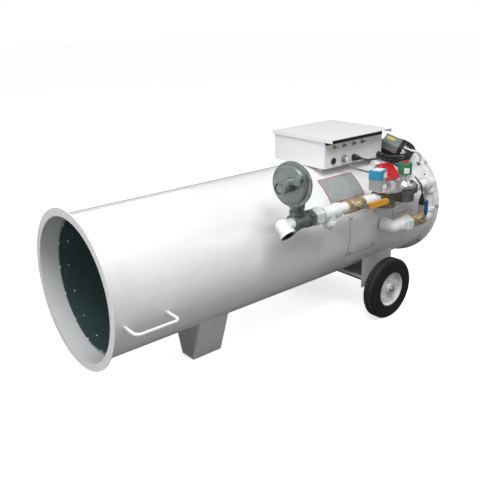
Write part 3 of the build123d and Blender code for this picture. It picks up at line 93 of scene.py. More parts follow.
TREAD_RIB_SHIFTS = (-0.0150, -0.0095, -0.0040, 0.0040, 0.0095, 0.0150)
TREAD_RIB_INSET = 0.0009
TREAD_RIB_HALF = 0.0014


def tube(x, y, z):
    return AXIS + Vector((x, y, z))


def on_shell(x, angle, radius=SHELL_R):
    """A point on the casing; angle 0 faces the near side and 90 is the top."""
    return tube(x, -radius * cos(radians(angle)), radius * sin(radians(angle)))


def casing_ways(angle):
    """The way round the casing and the way out of it, at the angle that on_shell takes."""
    turn = radians(angle)
    return Vector((0, sin(turn), cos(turn))), Vector((0, -cos(turn), sin(turn)))


def linked(name, data):
    """A new object in the scene."""
    piece = bpy.data.objects.new(name, data)
    bpy.context.scene.collection.objects.link(piece)
    return piece


# Nodes


def fill(tree, node, inputs):
    """Each named input of a node gets a value, or a link where the value is a socket."""
    for label, value in inputs.items():
        if isinstance(value, bpy.types.NodeSocket):
            tree.links.new(value, node.inputs[label])
        else:
            node.inputs[label].default_value = value


def add_node(tree, kind, inputs=None, **settings):
    """A new node; its settings come first, because they decide which inputs it has."""
    node = tree.nodes.new(kind)
    for label, value in settings.items():
        setattr(node, label, value)
    fill(tree, node, inputs or {})
    return node


def remap(tree, value, source, target=(0.0, 1.0)):
    """The socket of a value moved from one range to another; the ends are numbers or sockets."""
    ends = {"From Min": source[0], "From Max": source[1], "To Min": target[0], "To Max": target[1]}
    return add_node(tree, "ShaderNodeMapRange", {"Value": value, **ends}).outputs["Result"]


def blend(tree, factor, a, b, kind="RGBA"):
    inputs = {"Factor": factor, "A": a, "B": b}
    return add_node(tree, "ShaderNodeMix", inputs, data_type=kind).outputs["Result"]


def multiply(tree, a, b, clamp=False):
    return add_node(tree, "ShaderNodeMath", {0: a, 1: b}, operation="MULTIPLY", use_clamp=clamp).outputs[0]


def object_place(tree):
    return add_node(tree, "ShaderNodeTexCoord").outputs["Object"]


# Camera, lamps and floor


def photo_camera():
    azimuth, elevation, roll = radians(-37.87), radians(19.3), -0.030
    place = (-1.5769, -1.7341, 1.2480)
    back = Vector((sin(azimuth) * cos(elevation), -cos(azimuth) * cos(elevation), sin(elevation)))
    right = Vector((0, 0, 1)).cross(back).normalized()
    up = back.cross(right)
    side = right * cos(roll) + up * sin(roll)
    top = up * cos(roll) - right * sin(roll)
    lens = bpy.data.cameras.new("photo_camera")
    lens.sensor_width = 36.0
    lens.lens = 46.77
    lens.shift_x = 0.03715
    lens.shift_y = -0.01532
    lens.clip_start = 0.05
    camera = linked("photo_camera", lens)
    turn = Matrix((side, top, back)).transposed().to_4x4()
    camera.matrix_world = Matrix.Translation(place) @ turn
    bpy.context.scene.camera = camera


def area_lamp(name, place, target, size, power):
    lamp = bpy.data.lights.new(name, "AREA")
    lamp.shape = "RECTANGLE"
    lamp.size, lamp.size_y = size
    lamp.energy = power
    holder = linked(name, lamp)
    holder.location = place
    holder.rotation_euler = (Vector(target) - Vector(place)).to_track_quat("-Z", "Y").to_euler()


def studio():
    scene = bpy.context.scene
    scene.view_settings.view_transform = "Standard"
    area_lamp("key_lamp", (-0.8, -1.35, 3.3), (0.0, 0.0, 0.45), (3.0, 1.2), 106.0)
    area_lamp("outlet_lamp", (-3.2, -0.3, 1.2), (-0.6, 0.0, 0.4), (1.4, 1.0), 30.0)
    area_lamp("fill_lamp", (2.4, -2.2, 1.9), (0.2, 0.0, 0.4), (2.0, 1.6), 12.0)
    area_lamp("back_lamp", (0.4, 2.6, 2.4), (0.0, 0.0, 0.4), (2.4, 1.4), 20.0)

    # The room is soft light on the object, and plain white where the camera sees it.
    world = bpy.data.worlds.new("pale_room")
    scene.world = world
    world.use_nodes = True
    tree = world.node_tree
    tree.nodes.clear()
    path = add_node(tree, "ShaderNodeLightPath").outputs
    rays = {0: path["Is Camera Ray"], 1: path["Is Transmission Ray"]}
    seen = add_node(tree, "ShaderNodeMath", rays, operation="MAXIMUM")
    soft = add_node(tree, "ShaderNodeBackground", {"Color": (0.93, 0.96, 1.0, 1), "Strength": 0.32})
    white = add_node(tree, "ShaderNodeBackground", {"Color": (1, 1, 1, 1), "Strength": 1.0})
    mix = add_node(tree, "ShaderNodeMixShader", {0: seen.outputs[0], 1: soft.outputs[0], 2: white.outputs[0]})
    add_node(tree, "ShaderNodeOutputWorld", {"Surface": mix.outputs[0]})

    mesh = bpy.data.meshes.new("studio_floor")
    reach = 30.0
    corners = [(x * reach, y * reach, 0) for x, y in ((-1, -1), (1, -1), (1, 1), (-1, 1))]
    mesh.from_pydata(corners, [], [(0, 1, 2, 3)])
    floor = linked("studio_floor", mesh)
    paint = bpy.data.materials.new("floor_paint")
    paint.use_nodes = True
    tree = paint.node_tree
    seen = add_node(tree, "ShaderNodeLightPath").outputs["Is Camera Ray"]
    fill(tree, tree.nodes["Principled BSDF"], {
        "Roughness": 0.9, "Specular IOR Level": 0.1,
        "Base Color": blend(tree, seen, (0.27, 0.262, 0.25, 1), (0.98, 0.98, 0.98, 1)),
        "Emission Color": (1, 1, 1, 1), "Emission Strength": multiply(tree, seen, 0.68),
    })
    mesh.materials.append(paint)


# Effects that several finishes share


def effect(name, inputs, outputs):
    """A node group with the named sockets, and what its input node gives."""
    tree = bpy.data.node_groups.new(name, "ShaderNodeTree")
    for label, kind, start in inputs:
        socket = tree.interface.new_socket(label, in_out="INPUT", socket_type="NodeSocket" + kind)
        socket.default_value = start
    for label, kind in outputs:
        tree.interface.new_socket(label, in_out="OUTPUT", socket_type="NodeSocket" + kind)
    return tree, add_node(tree, "NodeGroupInput").outputs


def place_pattern(tree, stretch):
    """Object coordinates, scaled by the stretch socket."""
    inputs = {0: object_place(tree), 1: stretch}
    return add_node(tree, "ShaderNodeVectorMath", inputs, operation="MULTIPLY").outputs[0]


def make_mottle():
    """Two tones in soft clouds with finer specks in them."""
    tree, given = effect(
        "mottled_tone",
        [("Tone", "Color", (0.8, 0.8, 0.8, 1)), ("Second Tone", "Color", (0.7, 0.7, 0.7, 1)),
         ("Scale", "Float", 6.0), ("Stretch", "Vector", (1, 1, 1))],
        [("Colour", "Color"), ("Cloud", "Float")],
    )
    noise = add_node(tree, "ShaderNodeTexNoise", {
        "Vector": place_pattern(tree, given["Stretch"]), "Scale": given["Scale"],
        "Detail": 7.0, "Roughness": 0.62,
    })
    cloud = remap(tree, noise.outputs["Fac"], (0.3, 0.7))
    colour = blend(tree, cloud, given["Tone"], given["Second Tone"])
    add_node(tree, "NodeGroupOutput", {"Colour": colour, "Cloud": cloud})
    return tree


def make_edge_wear():
    """Where paint is rubbed through: along edges, broken up by noise."""
    tree, given = effect(
        "edge_wear",
        [("Reach", "Float", 0.0015), ("Amount", "Float", 0.5), ("Scale", "Float", 60.0)],
        [("Mask", "Float")],
    )
    bevel = add_node(tree, "ShaderNodeBevel", {"Radius": given["Reach"]}, samples=4)
    face = add_node(tree, "ShaderNodeNewGeometry")
    facing = {0: bevel.outputs["Normal"], 1: face.outputs["Normal"]}
    dot = add_node(tree, "ShaderNodeVectorMath", facing, operation="DOT_PRODUCT")
    edge = remap(tree, dot.outputs["Value"], (0.995, 0.80))
    speckle = {"Vector": object_place(tree), "Scale": given["Scale"], "Detail": 5.0}
    noise = add_node(tree, "ShaderNodeTexNoise", speckle)
    broken = remap(tree, noise.outputs["Fac"], (0.42, 0.62))
    mask = multiply(tree, multiply(tree, edge, broken), given["Amount"])
    add_node(tree, "NodeGroupOutput", {"Mask": mask})
    return tree


def make_grain():
    """Height of a fine surface grain: orange peel, casting skin or a brushed lay."""
    tree, given = effect(
        "surface_grain",
        [("Scale", "Float", 400.0), ("Stretch", "Vector", (1, 1, 1)), ("Coarse", "Float", 0.0)],
        [("Height", "Float")],
    )
    spot = {"Vector": place_pattern(tree, given["Stretch"]), "Scale": given["Scale"]}
    fine = add_node(tree, "ShaderNodeTexNoise", {**spot, "Detail": 3.0})
    rough = add_node(tree, "ShaderNodeTexVoronoi", spot)
    height = blend(tree, given["Coarse"], fine.outputs["Fac"], rough.outputs["Distance"], "FLOAT")
    add_node(tree, "NodeGroupOutput", {"Height": height})
    return tree


def make_grime():
    """Dust and handling marks, heavier towards the ground."""
    tree, given = effect(
        "settled_grime",
        [("Colour", "Color", (0.8, 0.8, 0.8, 1)), ("Grime", "Color", (0.25, 0.23, 0.2, 1)),
         ("Amount", "Float", 0.2), ("Low", "Float", 0.0), ("High", "Float", 0.8)],
        [("Colour", "Color")],
    )
    place = object_place(tree)
    split = add_node(tree, "ShaderNodeSeparateXYZ", {0: place})
    down = remap(tree, split.outputs["Z"], (given["Low"], given["High"]), (1.0, 0.15))
    patches = {"Vector": place, "Scale": 14.0, "Detail": 8.0, "Roughness": 0.7}
    noise = add_node(tree, "ShaderNodeTexNoise", patches)
    patch = remap(tree, noise.outputs["Fac"], (0.45, 0.75))
    amount = multiply(tree, multiply(tree, down, patch), given["Amount"], clamp=True)
    add_node(tree, "NodeGroupOutput", {"Colour": blend(tree, amount, given["Colour"], given["Grime"])})
    return tree


EFFECTS = {"mottle": make_mottle(), "wear": make_edge_wear(), "grain": make_grain(), "grime": make_grime()}


def add_effect(tree, kind, inputs):
    return add_node(tree, "ShaderNodeGroup", inputs, node_tree=EFFECTS[kind]).outputs


def rgb(colour):
    return (*colour, 1.0)


FINISHES = {}


def finish(name, tone, second, cloud=6.0, rough=(0.3, 0.4), metal=0.0, grain=(400.0, 0.1),
           stretch=(1, 1, 1), coarse=0.0, wear=0.0, bare=(0.42, 0.41, 0.39), grime=0.15, coat=0.0,
           specular=0.5):
    """One material: a mottled tone, grime, rubbed edges, varied roughness and a fine grain.

    rough is the range of the roughness, and grain the scale and strength of the grain."""
    material = bpy.data.materials.new(name)
    material.use_nodes = True
    tree = material.node_tree
    tones = {"Tone": rgb(tone), "Second Tone": rgb(second)}
    mottle = add_effect(tree, "mottle", {**tones, "Scale": cloud, "Stretch": stretch})
    colour = add_effect(tree, "grime", {"Colour": mottle["Colour"], "Amount": grime})["Colour"]
    if wear:
        colour = blend(tree, add_effect(tree, "wear", {"Amount": wear})["Mask"], colour, rgb(bare))
    skin = add_effect(tree, "grain", {"Scale": grain[0], "Stretch": stretch, "Coarse": coarse})
    relief = {"Strength": grain[1], "Distance": 0.0008, "Height": skin["Height"]}
    fill(tree, tree.nodes["Principled BSDF"], {
        "Base Color": colour, "Metallic": metal,
        "Roughness": remap(tree, mottle["Cloud"], (0.0, 1.0), rough),
        "Specular IOR Level": specular, "Coat Weight": coat, "Coat Roughness": 0.07,
        "Normal": add_node(tree, "ShaderNodeBump", relief).outputs["Normal"],
    })
    FINISHES[name] = material


def make_finishes():
    finish("shell_enamel", (0.81, 0.813, 0.816), (0.765, 0.768, 0.77), 2.2, (0.26, 0.36), grain=(160, 0.03),
           wear=0.12, grime=0.10, coat=0.8)
    finish("box_enamel", (0.855, 0.858, 0.86), (0.825, 0.828, 0.83), 3.0, (0.25, 0.36), grain=(180, 0.05),
           wear=0.5, grime=0.10, coat=0.2)
    finish("pipe_enamel", (0.82, 0.825, 0.83), (0.75, 0.755, 0.76), 14.0, (0.28, 0.46), grain=(220, 0.22),
           wear=0.5, grime=0.2, coat=0.15)
    finish("rim_enamel", (0.76, 0.77, 0.78), (0.68, 0.69, 0.70), 12.0, (0.3, 0.45), grain=(200, 0.08),
           wear=0.6, grime=0.5)
    finish("foot_enamel", (0.77, 0.77, 0.77), (0.75, 0.75, 0.75), 5.0, (0.3, 0.42), grain=(200, 0.06),
           wear=0.4, grime=0.12)
    finish("zinc", (0.60, 0.60, 0.58), (0.48, 0.48, 0.46), 40.0, (0.25, 0.45), 1.0, (500, 0.15), grime=0.25)
    finish("nickel", (0.66, 0.64, 0.60), (0.54, 0.52, 0.48), 60.0, (0.14, 0.3), 1.0, (600, 0.06), grime=0.1)
    finish("steel_blade", (0.58, 0.56, 0.50), (0.42, 0.40, 0.35), 50.0, (0.25, 0.42), 1.0, (400, 0.2),
           (1, 8, 8), grime=0.3)
    finish("stainless", (0.50, 0.48, 0.45), (0.33, 0.29, 0.25), 12.0, (0.25, 0.45), 1.0, (300, 0.15),
           (1, 6, 6), grime=0.3)
    finish("aluminium", (0.84, 0.85, 0.85), (0.70, 0.71, 0.71), 30.0, (0.22, 0.38), 0.8, (350, 0.2),
           grime=0.14)
    finish("cast_aluminium", (0.80, 0.80, 0.79), (0.52, 0.53, 0.52), 45.0, (0.16, 0.34), 0.9, (420, 0.35),
           coarse=0.5, grime=0.15)
    finish("galvanised", (0.19, 0.29, 0.295), (0.13, 0.215, 0.225), 30.0, (0.2, 0.38), 0.7, (90, 0.05),
           coarse=0.3, grime=0.04)
    finish("brass", (0.66, 0.54, 0.35), (0.38, 0.27, 0.15), 55.0, (0.24, 0.40), 0.6, (420, 0.35),
           coarse=0.3, grime=0.25)
    finish("bronze", (0.25, 0.22, 0.165), (0.13, 0.11, 0.08), 35.0, (0.32, 0.5), 0.6, (380, 0.5),
           coarse=0.5, grime=0.2)
    finish("dark_casting", (0.21, 0.215, 0.205), (0.10, 0.10, 0.095), 40.0, (0.28, 0.46), 0.65, (380, 0.5),
           coarse=0.5, wear=0.5, grime=0.15)
    finish("body_casting", (0.145, 0.175, 0.16), (0.075, 0.095, 0.085), 45.0, (0.3, 0.5), 0.25, (360, 0.7),
           coarse=0.5, wear=0.5, grime=0.2, coat=0.2)
    finish("regulator_paint", (0.205, 0.24, 0.222), (0.155, 0.185, 0.17), 24.0, (0.12, 0.26), 0.15,
           (260, 0.25), coarse=0.3, wear=0.4, grime=0.12, coat=0.7)
    finish("worn_pipe", (0.84, 0.865, 0.87), (0.66, 0.70, 0.71), 60.0, (0.22, 0.38), 0.2, (300, 0.35),
           coarse=0.3, wear=0.6, grime=0.2)
    # Dark red primer inside the inlet's bore, darkened near black as painted shade in the bore.
    finish("bore_primer_shade", (0.05, 0.004, 0.006), (0.02, 0.003, 0.004), 60.0, (0.4, 0.6), grime=0.1)
    finish("motor_paint", (0.08, 0.09, 0.10), (0.06, 0.065, 0.07), 14.0, (0.4, 0.55), 0.2, (300, 0.3),
           grime=0.3)
    finish("tyre_rubber", (0.006, 0.006, 0.006), (0.012, 0.011, 0.011), 22.0, (0.5, 0.66),
           grain=(500, 0.35), grime=0.06, specular=0.2)
    # Rubber for the tread ribs, lighter than the tyre's: a painted highlight along each rib.
    finish("rib_rubber_highlight", (0.035, 0.034, 0.033), (0.05, 0.048, 0.046), 30.0, (0.35, 0.5), grain=(500, 0.3),
           grime=0.1)
    finish("black_rubber", (0.010, 0.010, 0.011), (0.018, 0.018, 0.018), 40.0, (0.5, 0.7), grain=(600, 0.2),
           grime=0.1)
    finish("black_plastic", (0.010, 0.010, 0.011), (0.016, 0.016, 0.017), 40.0, (0.28, 0.42),
           grain=(700, 0.12), grime=0.08)
    finish("cord_jacket", (0.010, 0.010, 0.012), (0.017, 0.017, 0.019), 60.0, (0.28, 0.42),
           grain=(900, 0.1), grime=0.06)
    finish("conduit_jacket", (0.22, 0.24, 0.25), (0.15, 0.165, 0.175), 60.0, (0.35, 0.5), grain=(700, 0.3),
           grime=0.15)
    finish("white_silicone", (0.86, 0.86, 0.85), (0.78, 0.78, 0.77), 40.0, (0.35, 0.5), grain=(600, 0.15),
           grime=0.25)
    finish("yellow_grip", (0.80, 0.40, 0.03), (0.66, 0.30, 0.02), 40.0, (0.3, 0.45), grain=(420, 0.25),
           grime=0.15, wear=0.3, bare=(0.9, 0.55, 0.1))
    finish("blue_grip", (0.012, 0.075, 0.24), (0.01, 0.05, 0.16), 40.0, (0.3, 0.45), grain=(420, 0.25),
           grime=0.15)
    finish("cover_blue", (0.027, 0.30, 0.49), (0.02, 0.25, 0.42), 20.0, (0.25, 0.36), grain=(600, 0.1),
           grime=0.08, wear=0.25, bare=(0.35, 0.55, 0.65))
    finish("actuator_grey", (0.40, 0.41, 0.40), (0.32, 0.33, 0.32), 25.0, (0.35, 0.5), grain=(500, 0.2),
           grime=0.15, wear=0.3)
    finish("coil_green", (0.045, 0.21, 0.10), (0.03, 0.15, 0.075), 40.0, (0.3, 0.45), grain=(500, 0.15),
           grime=0.12)
    finish("red_plastic", (0.60, 0.006, 0.014), (0.50, 0.004, 0.010), 14.0, (0.2, 0.32), grain=(500, 0.08),
           grime=0.05, coat=0.2)
    finish("transformer_paint", (0.24, 0.275, 0.27), (0.18, 0.21, 0.205), 20.0, (0.25, 0.4), 0.2,
           (260, 0.25), wear=0.5, grime=0.15, bare=(0.5, 0.52, 0.5))
    finish("white_card", (0.86, 0.865, 0.87), (0.80, 0.805, 0.81), 12.0, (0.35, 0.45), grain=(500, 0.05),
           grime=0.08)
    finish("edge_card", (0.16, 0.17, 0.17), (0.12, 0.13, 0.13), 18.0, (0.35, 0.5), grain=(500, 0.05),
           grime=0.1)
    finish("orange_card", (0.62, 0.20, 0.03), (0.54, 0.16, 0.02), 18.0, (0.35, 0.5), grain=(500, 0.05),
           grime=0.1)
    # A grey that paints the shadow along the edges of the access door.
    finish("door_edge_shadow", (0.42, 0.425, 0.43), (0.28, 0.285, 0.29), 60.0, (0.5, 0.7), grain=(300, 0.3),
           grime=0.3)
    finish("grey_card", (0.36, 0.375, 0.375), (0.29, 0.305, 0.305), 30.0, (0.35, 0.5), grain=(500, 0.05),
           grime=0.18)
    finish("red_border", (0.42, 0.06, 0.08), (0.36, 0.05, 0.065), 18.0, (0.35, 0.5), grain=(500, 0.05),
           grime=0.18)
    finish("yellow_card", (0.72, 0.52, 0.06), (0.62, 0.44, 0.05), 18.0, (0.35, 0.5), grain=(500, 0.05),
           grime=0.12)
    finish("glazed_ceramic", (0.70, 0.66, 0.58), (0.62, 0.58, 0.5), 30.0, (0.15, 0.25), grain=(400, 0.05),
           grime=0.15)


# Building pieces


def body_of_node(node):
    return frame["nodes"][node]["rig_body"]


def shade(bm, angle=32.0):
    for face in bm.faces:
        face.smooth = True
    for edge in bm.edges:
        if len(edge.link_faces) == 2:
            edge.smooth = edge.calc_face_angle(0.0) < radians(angle)


def mesh_of(name, bm, angle=32.0):
    """The shaded mesh of a bmesh, which is freed."""
    shade(bm, angle)
    mesh = bpy.data.meshes.new(name)
    bm.to_mesh(mesh)
    bm.free()
    return mesh


def add_object(name, mesh, body="heater"):
    piece = linked(name, mesh)
    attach(piece, body)
    return piece


def add_piece(name, bm, label, angle=32.0):
    """A piece of one finish, made from a bmesh with its normals turned outward."""
    bmesh.ops.recalc_face_normals(bm, faces=bm.faces)
    mesh = mesh_of(name, bm, angle)
    mesh.materials.append(FINISHES[label])
    return add_object(name, mesh)


def wall(bm, low, high):
    """Faces between two closed loops of corners."""
    for k in range(len(low)):
        n = (k + 1) % len(low)
        bm.faces.new((low[k], low[n], high[n], high[k]))


def islands(bm):
    """The separate solids in a mesh, each a list of faces."""
    bm.faces.ensure_lookup_table()
    seen = set()
    found = []
    for start in bm.faces:
        if start.index in seen:
            continue
        seen.add(start.index)
        stack, group = [start], []
        while stack:
            face = stack.pop()
            group.append(face)
            for edge in face.edges:
                for other in edge.link_faces:
                    if other.index not in seen:
                        seen.add(other.index)
                        stack.append(other)
        found.append(group)
    return found


def extent(points):
    """The low and high corners of the box round some points."""
    return tuple(Vector([pick(p[k] for p in points) for k in range(3)]) for pick in (min, max))


def dressed(node, finishes, soften, pick=None, inside=None):
    """A merged copy of a CAD node with softened edges and a finish for each of its solids.

    pick chooses a finish by a solid's extent, and inside by the middle of a face."""
    bm = bmesh.new()
    bm.from_mesh(frame["nodes"][node].data)
    bmesh.ops.remove_doubles(bm, verts=bm.verts, dist=2e-6)
    bmesh.ops.dissolve_limit(bm, angle_limit=radians(0.2), verts=bm.verts, edges=bm.edges)
    if pick is not None:
        for group in islands(bm):
            low, high = extent([v.co for f in group for v in f.verts])
            choice = int(pick(low - AXIS, high - AXIS))
            for face in group:
                face.material_index = choice
    if inside is not None:
        for face in bm.faces:
            face.material_index = int(inside(face.calc_center_median() - AXIS))
    mesh = mesh_of(node + "_finished", bm)
    if "custom_normal" in mesh.attributes:
        mesh.attributes.remove(mesh.attributes["custom_normal"])
    piece = add_object(node + "_finished", mesh, body_of_node(node))
    for label in finishes:
        mesh.materials.append(FINISHES[label])
    if soften:
        edge = piece.modifiers.new("softened_edges", "BEVEL")
        edge.width = soften
        edge.segments = 2
        edge.limit_method = "ANGLE"
        edge.angle_limit = radians(35)
        edge.harden_normals = True
    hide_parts(node)


def inlet_bore(point):
    """Inside the open leg of the elbow where the gas comes in."""
    down = -casing_ways(INLET_TILT)[0]
    reach = point - INLET_START
    along = reach.dot(down)
    return along > INLET_DEPTH and (reach - down * along).length < INLET_BORE_R


def transformer_piece(low, high):
    """The case, then its black cap, then its two white terminals."""
    size = (high - low).length
    return 0 if size > 0.12 else 1 if size > 0.05 else 2


# Nodes that only change their finish.
PLAIN = {
    "outer_shell": "shell_enamel", "inner_liner": "galvanised", "burner_cone": "stainless",
    "burner_baffle": "stainless", "fan_motor": "motor_paint", "motor_mount": "foot_enamel",
    # The box gasket is a black strip under the lid's near edge: partly a rubber seal, partly painted shade
    # under the lid's overhang.
    "fan_rotor": "aluminium", "intake_guard": "zinc", "box_gasket": "black_rubber",
    "box_internals": "black_plastic", "regulator_diaphragm": "black_rubber", "axle": "zinc",
    "electrodes": "glazed_ceramic", "gas_injector": "zinc", "transformer_bracket": "zinc",
    "left_tyre": "tyre_rubber", "right_tyre": "tyre_rubber", "access_door": "shell_enamel",
}


def dress_everything():
    """Every CAD node gets its finish; those with edges that show, or with two finishes, are dressed copies.

    What pick and inside are given is measured from the casing's axis, as tube measures."""
    for node, label in PLAIN.items():
        for slot in frame["nodes"][node].material_slots:
            slot.material = FINISHES[label]
    for node in ("outlet_flange", "rear_ring"):
        dressed(node, ["shell_enamel"], 0.0008)
    # The screws of the regulator are painted with it.
    dressed("hex_bolts", ["zinc", "regulator_paint"], 0.0005,
            pick=lambda low, high: low.z > 0.18 and high.x < 0.75)
    dressed("front_foot", ["foot_enamel"], 0.0008)
    dressed("axle_bracket", ["foot_enamel"], 0.0008)
    dressed("side_handles", ["foot_enamel"], 0.0)
    for node in ("left_rim", "right_rim"):
        dressed(node, ["rim_enamel"], 0.0008)
    dressed("control_box", ["box_enamel"], 0.0006)
    dressed("box_lid", ["box_enamel"], 0.0009)
    # The widest bushing is the push button's ring.
    dressed("switch_bushings", ["brass", "zinc"], 0.0004, pick=lambda low, high: high.x - low.x > 0.02)
    for k in range(1, 5):
        dressed(f"toggle_{k}", ["nickel"], 0.0)
    dressed("push_button", ["black_plastic"], 0.0012)
    # The conduit's connector is the gland nearest the outlet.
    dressed("box_glands", ["black_plastic", "zinc"], 0.0006, pick=lambda low, high: high.x < 1.17)
    for node in ("pipe_nipples", "drip_leg"):
        dressed(node, ["pipe_enamel"], 0.0009)
    dressed("pipe_unions", ["worn_pipe"], 0.0009)
    # The inlet's bore is dark red primer with painted shade.
    dressed("pipe_elbows", ["pipe_enamel", "bore_primer_shade"], 0.0009, inside=inlet_bore)
    dressed("regulator_body", ["body_casting"], 0.0012)
    dressed("regulator_case", ["regulator_paint"], 0.001)
    dressed("ball_valve_bodies", ["brass"], 0.001)
    # The grips start part of the way along the levers.
    dressed("inlet_lever", ["steel_blade", "yellow_grip"], 0.0009, inside=lambda p: p.x > 1.0425)
    dressed("outlet_lever", ["steel_blade", "blue_grip"], 0.0009, inside=lambda p: p.z > 0.0335)
    dressed("safety_valve", ["bronze"], 0.001)
    # The tallest solid is the grey column under the valve cover.
    dressed("safety_actuator", ["aluminium", "actuator_grey"], 0.001,
            pick=lambda low, high: high.z - low.z > 0.035)
    dressed("safety_cover", ["cover_blue"], 0.0)
    dressed("solenoid_body", ["dark_casting"], 0.001)
    dressed("solenoid_bonnet", ["cast_aluminium"], 0.0008)
    # The coil's cap is the flatter solid.
    dressed("solenoid_coil", ["coil_green", "red_plastic"], 0.0,
            pick=lambda low, high: high.z - low.z < 0.012)
    # The switch's boot is the upper solid.
    dressed("pressure_switch", ["nickel", "black_rubber"], 0.0006, pick=lambda low, high: low.z >= 0.045)
    # The safeguard's base is narrower than its case.
    dressed("flame_safeguard", ["red_plastic", "white_card"], 0.0,
            pick=lambda low, high: high.x - low.x <= 0.06)
    dressed("transformer", ["transformer_paint", "black_plastic", "white_silicone"], 0.0008,
            pick=transformer_piece)


# Cords


def nurbs_line(name, points, radius, material):
    curve = bpy.data.curves.new(name, "CURVE")
    curve.dimensions = "3D"
    curve.bevel_depth = radius
    curve.bevel_resolution = 5
    curve.resolution_u = 8
    curve.use_fill_caps = True
    line = curve.splines.new("NURBS")
    line.points.add(len(points) - 1)
    for spot, point in zip(line.points, points):
        spot.co = (*point, 1.0)
    line.order_u = 3
    line.use_endpoint_u = True
    curve.materials.append(FINISHES[material])
    return add_object(name, curve)


def coil_point(turn):
    """A point of the coiled mains cord: layers that run in and out again as they stack down."""
    per_layer = COIL_TURNS / COIL_LAYERS
    layer = min(int(turn / per_layer), COIL_LAYERS - 1)
    share = turn / per_layer - layer
    spread = COIL_PITCH * per_layer * (share if layer % 2 else 1 - share)
    height = COIL_HEIGHT + COIL_PITCH * (COIL_LAYERS - 1)
    for k in range(1, COIL_LAYERS):
        climb = (turn - (k * per_layer - COIL_CLIMB_TURNS / 2)) / COIL_CLIMB_TURNS
        height -= COIL_PITCH * min(max(climb, 0.0), 1.0)
    angle = 2 * pi * turn
    along = (COIL_HALF[0] + spread) * COIL_SWELL * sin(angle)
    across = -(COIL_HALF[1] + spread) * COIL_SWELL * cos(angle)
    side, out = casing_ways(COIL_LEAN)
    return tube(COIL_X, 0, 0) + Vector((along, 0, 0)) + side * across + out * height


def lay_cords():
    start = [
        (0.5315, -0.1329, 0.6735), (0.5315, -0.1509, 0.6735), (0.5435, -0.1749, 0.6705),
        (0.5735, -0.1889, 0.6645), (0.6095, -0.1779, 0.6565), (0.6385, -0.1514, 0.6510),
    ]
    steps_per_turn = 16
    turns = [coil_point(k / steps_per_turn) for k in range(int(COIL_TURNS * steps_per_turn) + 1)]
    end = [
        (0.6365, -0.0086, 0.6785), (0.6025, 0.0385, 0.6735), (0.5935, 0.0845, 0.6690),
        (0.5995, 0.1285, 0.6580),
    ]
    mains = nurbs_line("mains_cord", start + turns + end, 0.0045, "cord_jacket")
    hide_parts("cord_lead", "cord_coil", "cord_tail")
    plug = mains_plug(Vector(end[-1]))
    relief = tapered_relief("mains_relief", start[0], start[1], 0.0052, 0.024)

    route = [
        (0.3745, -0.1329, 0.6865), (0.3745, -0.1549, 0.6865), (0.4035, -0.1779, 0.6795),
        (0.4635, -0.1789, 0.6835), (0.4975, -0.1969, 0.6585), (0.5245, -0.2169, 0.6405),
        (0.5595, -0.2389, 0.6175), (0.5675, -0.2689, 0.6015), (0.5675, -0.3045, 0.5735),
        (0.5765, -0.3015, 0.5405), (0.6025, -0.2875, 0.5315), (0.6205, -0.2755, 0.5305),
        (0.6205, -0.2755, 0.5175),
    ]
    lead = nurbs_line("switch_lead_line", route, 0.003, "cord_jacket")
    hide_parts("switch_lead")
    boot = tapered_relief("lead_relief", route[0], route[1], 0.0036, 0.020)

    route = [
        (0.3168, -0.1348, 0.6754), (0.3188, -0.1408, 0.6650), (0.3275, -0.1635, 0.6545),
        (0.3235, -0.1935, 0.6545), (0.3105, -0.2215, 0.6595), (0.2949, -0.2389, 0.6625),
        (0.2988, -0.2544, 0.6625),
    ]
    conduit = nurbs_line("flexible_conduit", route, 0.004, "conduit_jacket")
    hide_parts("flex_conduit")

    route = [
        (0.6657, -0.1469, 0.6843), (0.6745, -0.1632, 0.6767), (0.7015, -0.1795, 0.6695),
        (0.7295, -0.1775, 0.6495), (0.7655, -0.1537, 0.6154), (0.7815, -0.1456, 0.6066),
        (0.7815, -0.1360, 0.5963),
    ]
    spark = nurbs_line("high_tension_lead", route, 0.0042, "white_silicone")
    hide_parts("ht_lead")


def revolved(name, profile, start, heading, material, steps=32):
    """A turned piece; profile is (distance along the axis, radius), and starts and ends on the axis."""
    heading = Vector(heading).normalized()
    side = heading.orthogonal().normalized()
    over = heading.cross(side)
    bm = bmesh.new()
    rings = []
    for along, radius in profile:
        centre = Vector(start) + heading * along
        if radius == 0.0:
            rings.append([bm.verts.new(centre)])
            continue
        ring = []
        for k in range(steps):
            turn = 2 * pi * k / steps
            ring.append(bm.verts.new(centre + (side * cos(turn) + over * sin(turn)) * radius))
        rings.append(ring)
    for a, b in zip(rings, rings[1:]):
        for k in range(steps):
            n = (k + 1) % steps
            corners = [a[k % len(a)], a[n % len(a)], b[n % len(b)], b[k % len(b)]]
            unique = list(dict.fromkeys(corners))
            if len(unique) > 2:
                bm.faces.new(unique)
    return add_piece(name, bm, material, 40.0)


def tapered_relief(name, start, ahead, narrow, length):
    """A ribbed strain relief that tapers along the cord."""
    ribs, wide_end, groove = 6, 0.0075, 0.0009
    profile = [(-0.001, 0.0), (-0.001, wide_end)]
    for k in range(ribs):
        low = wide_end + (narrow - wide_end) * k / ribs
        rib = ((0.15, 0.0), (0.60, 0.0002), (0.68, groove), (0.92, groove))
        profile += [((k + share) * length / ribs, low - inset) for share, inset in rib]
    profile += [(length, narrow), (length, 0.0)]
    return revolved(name, profile, start, Vector(ahead) - Vector(start), "black_rubber")


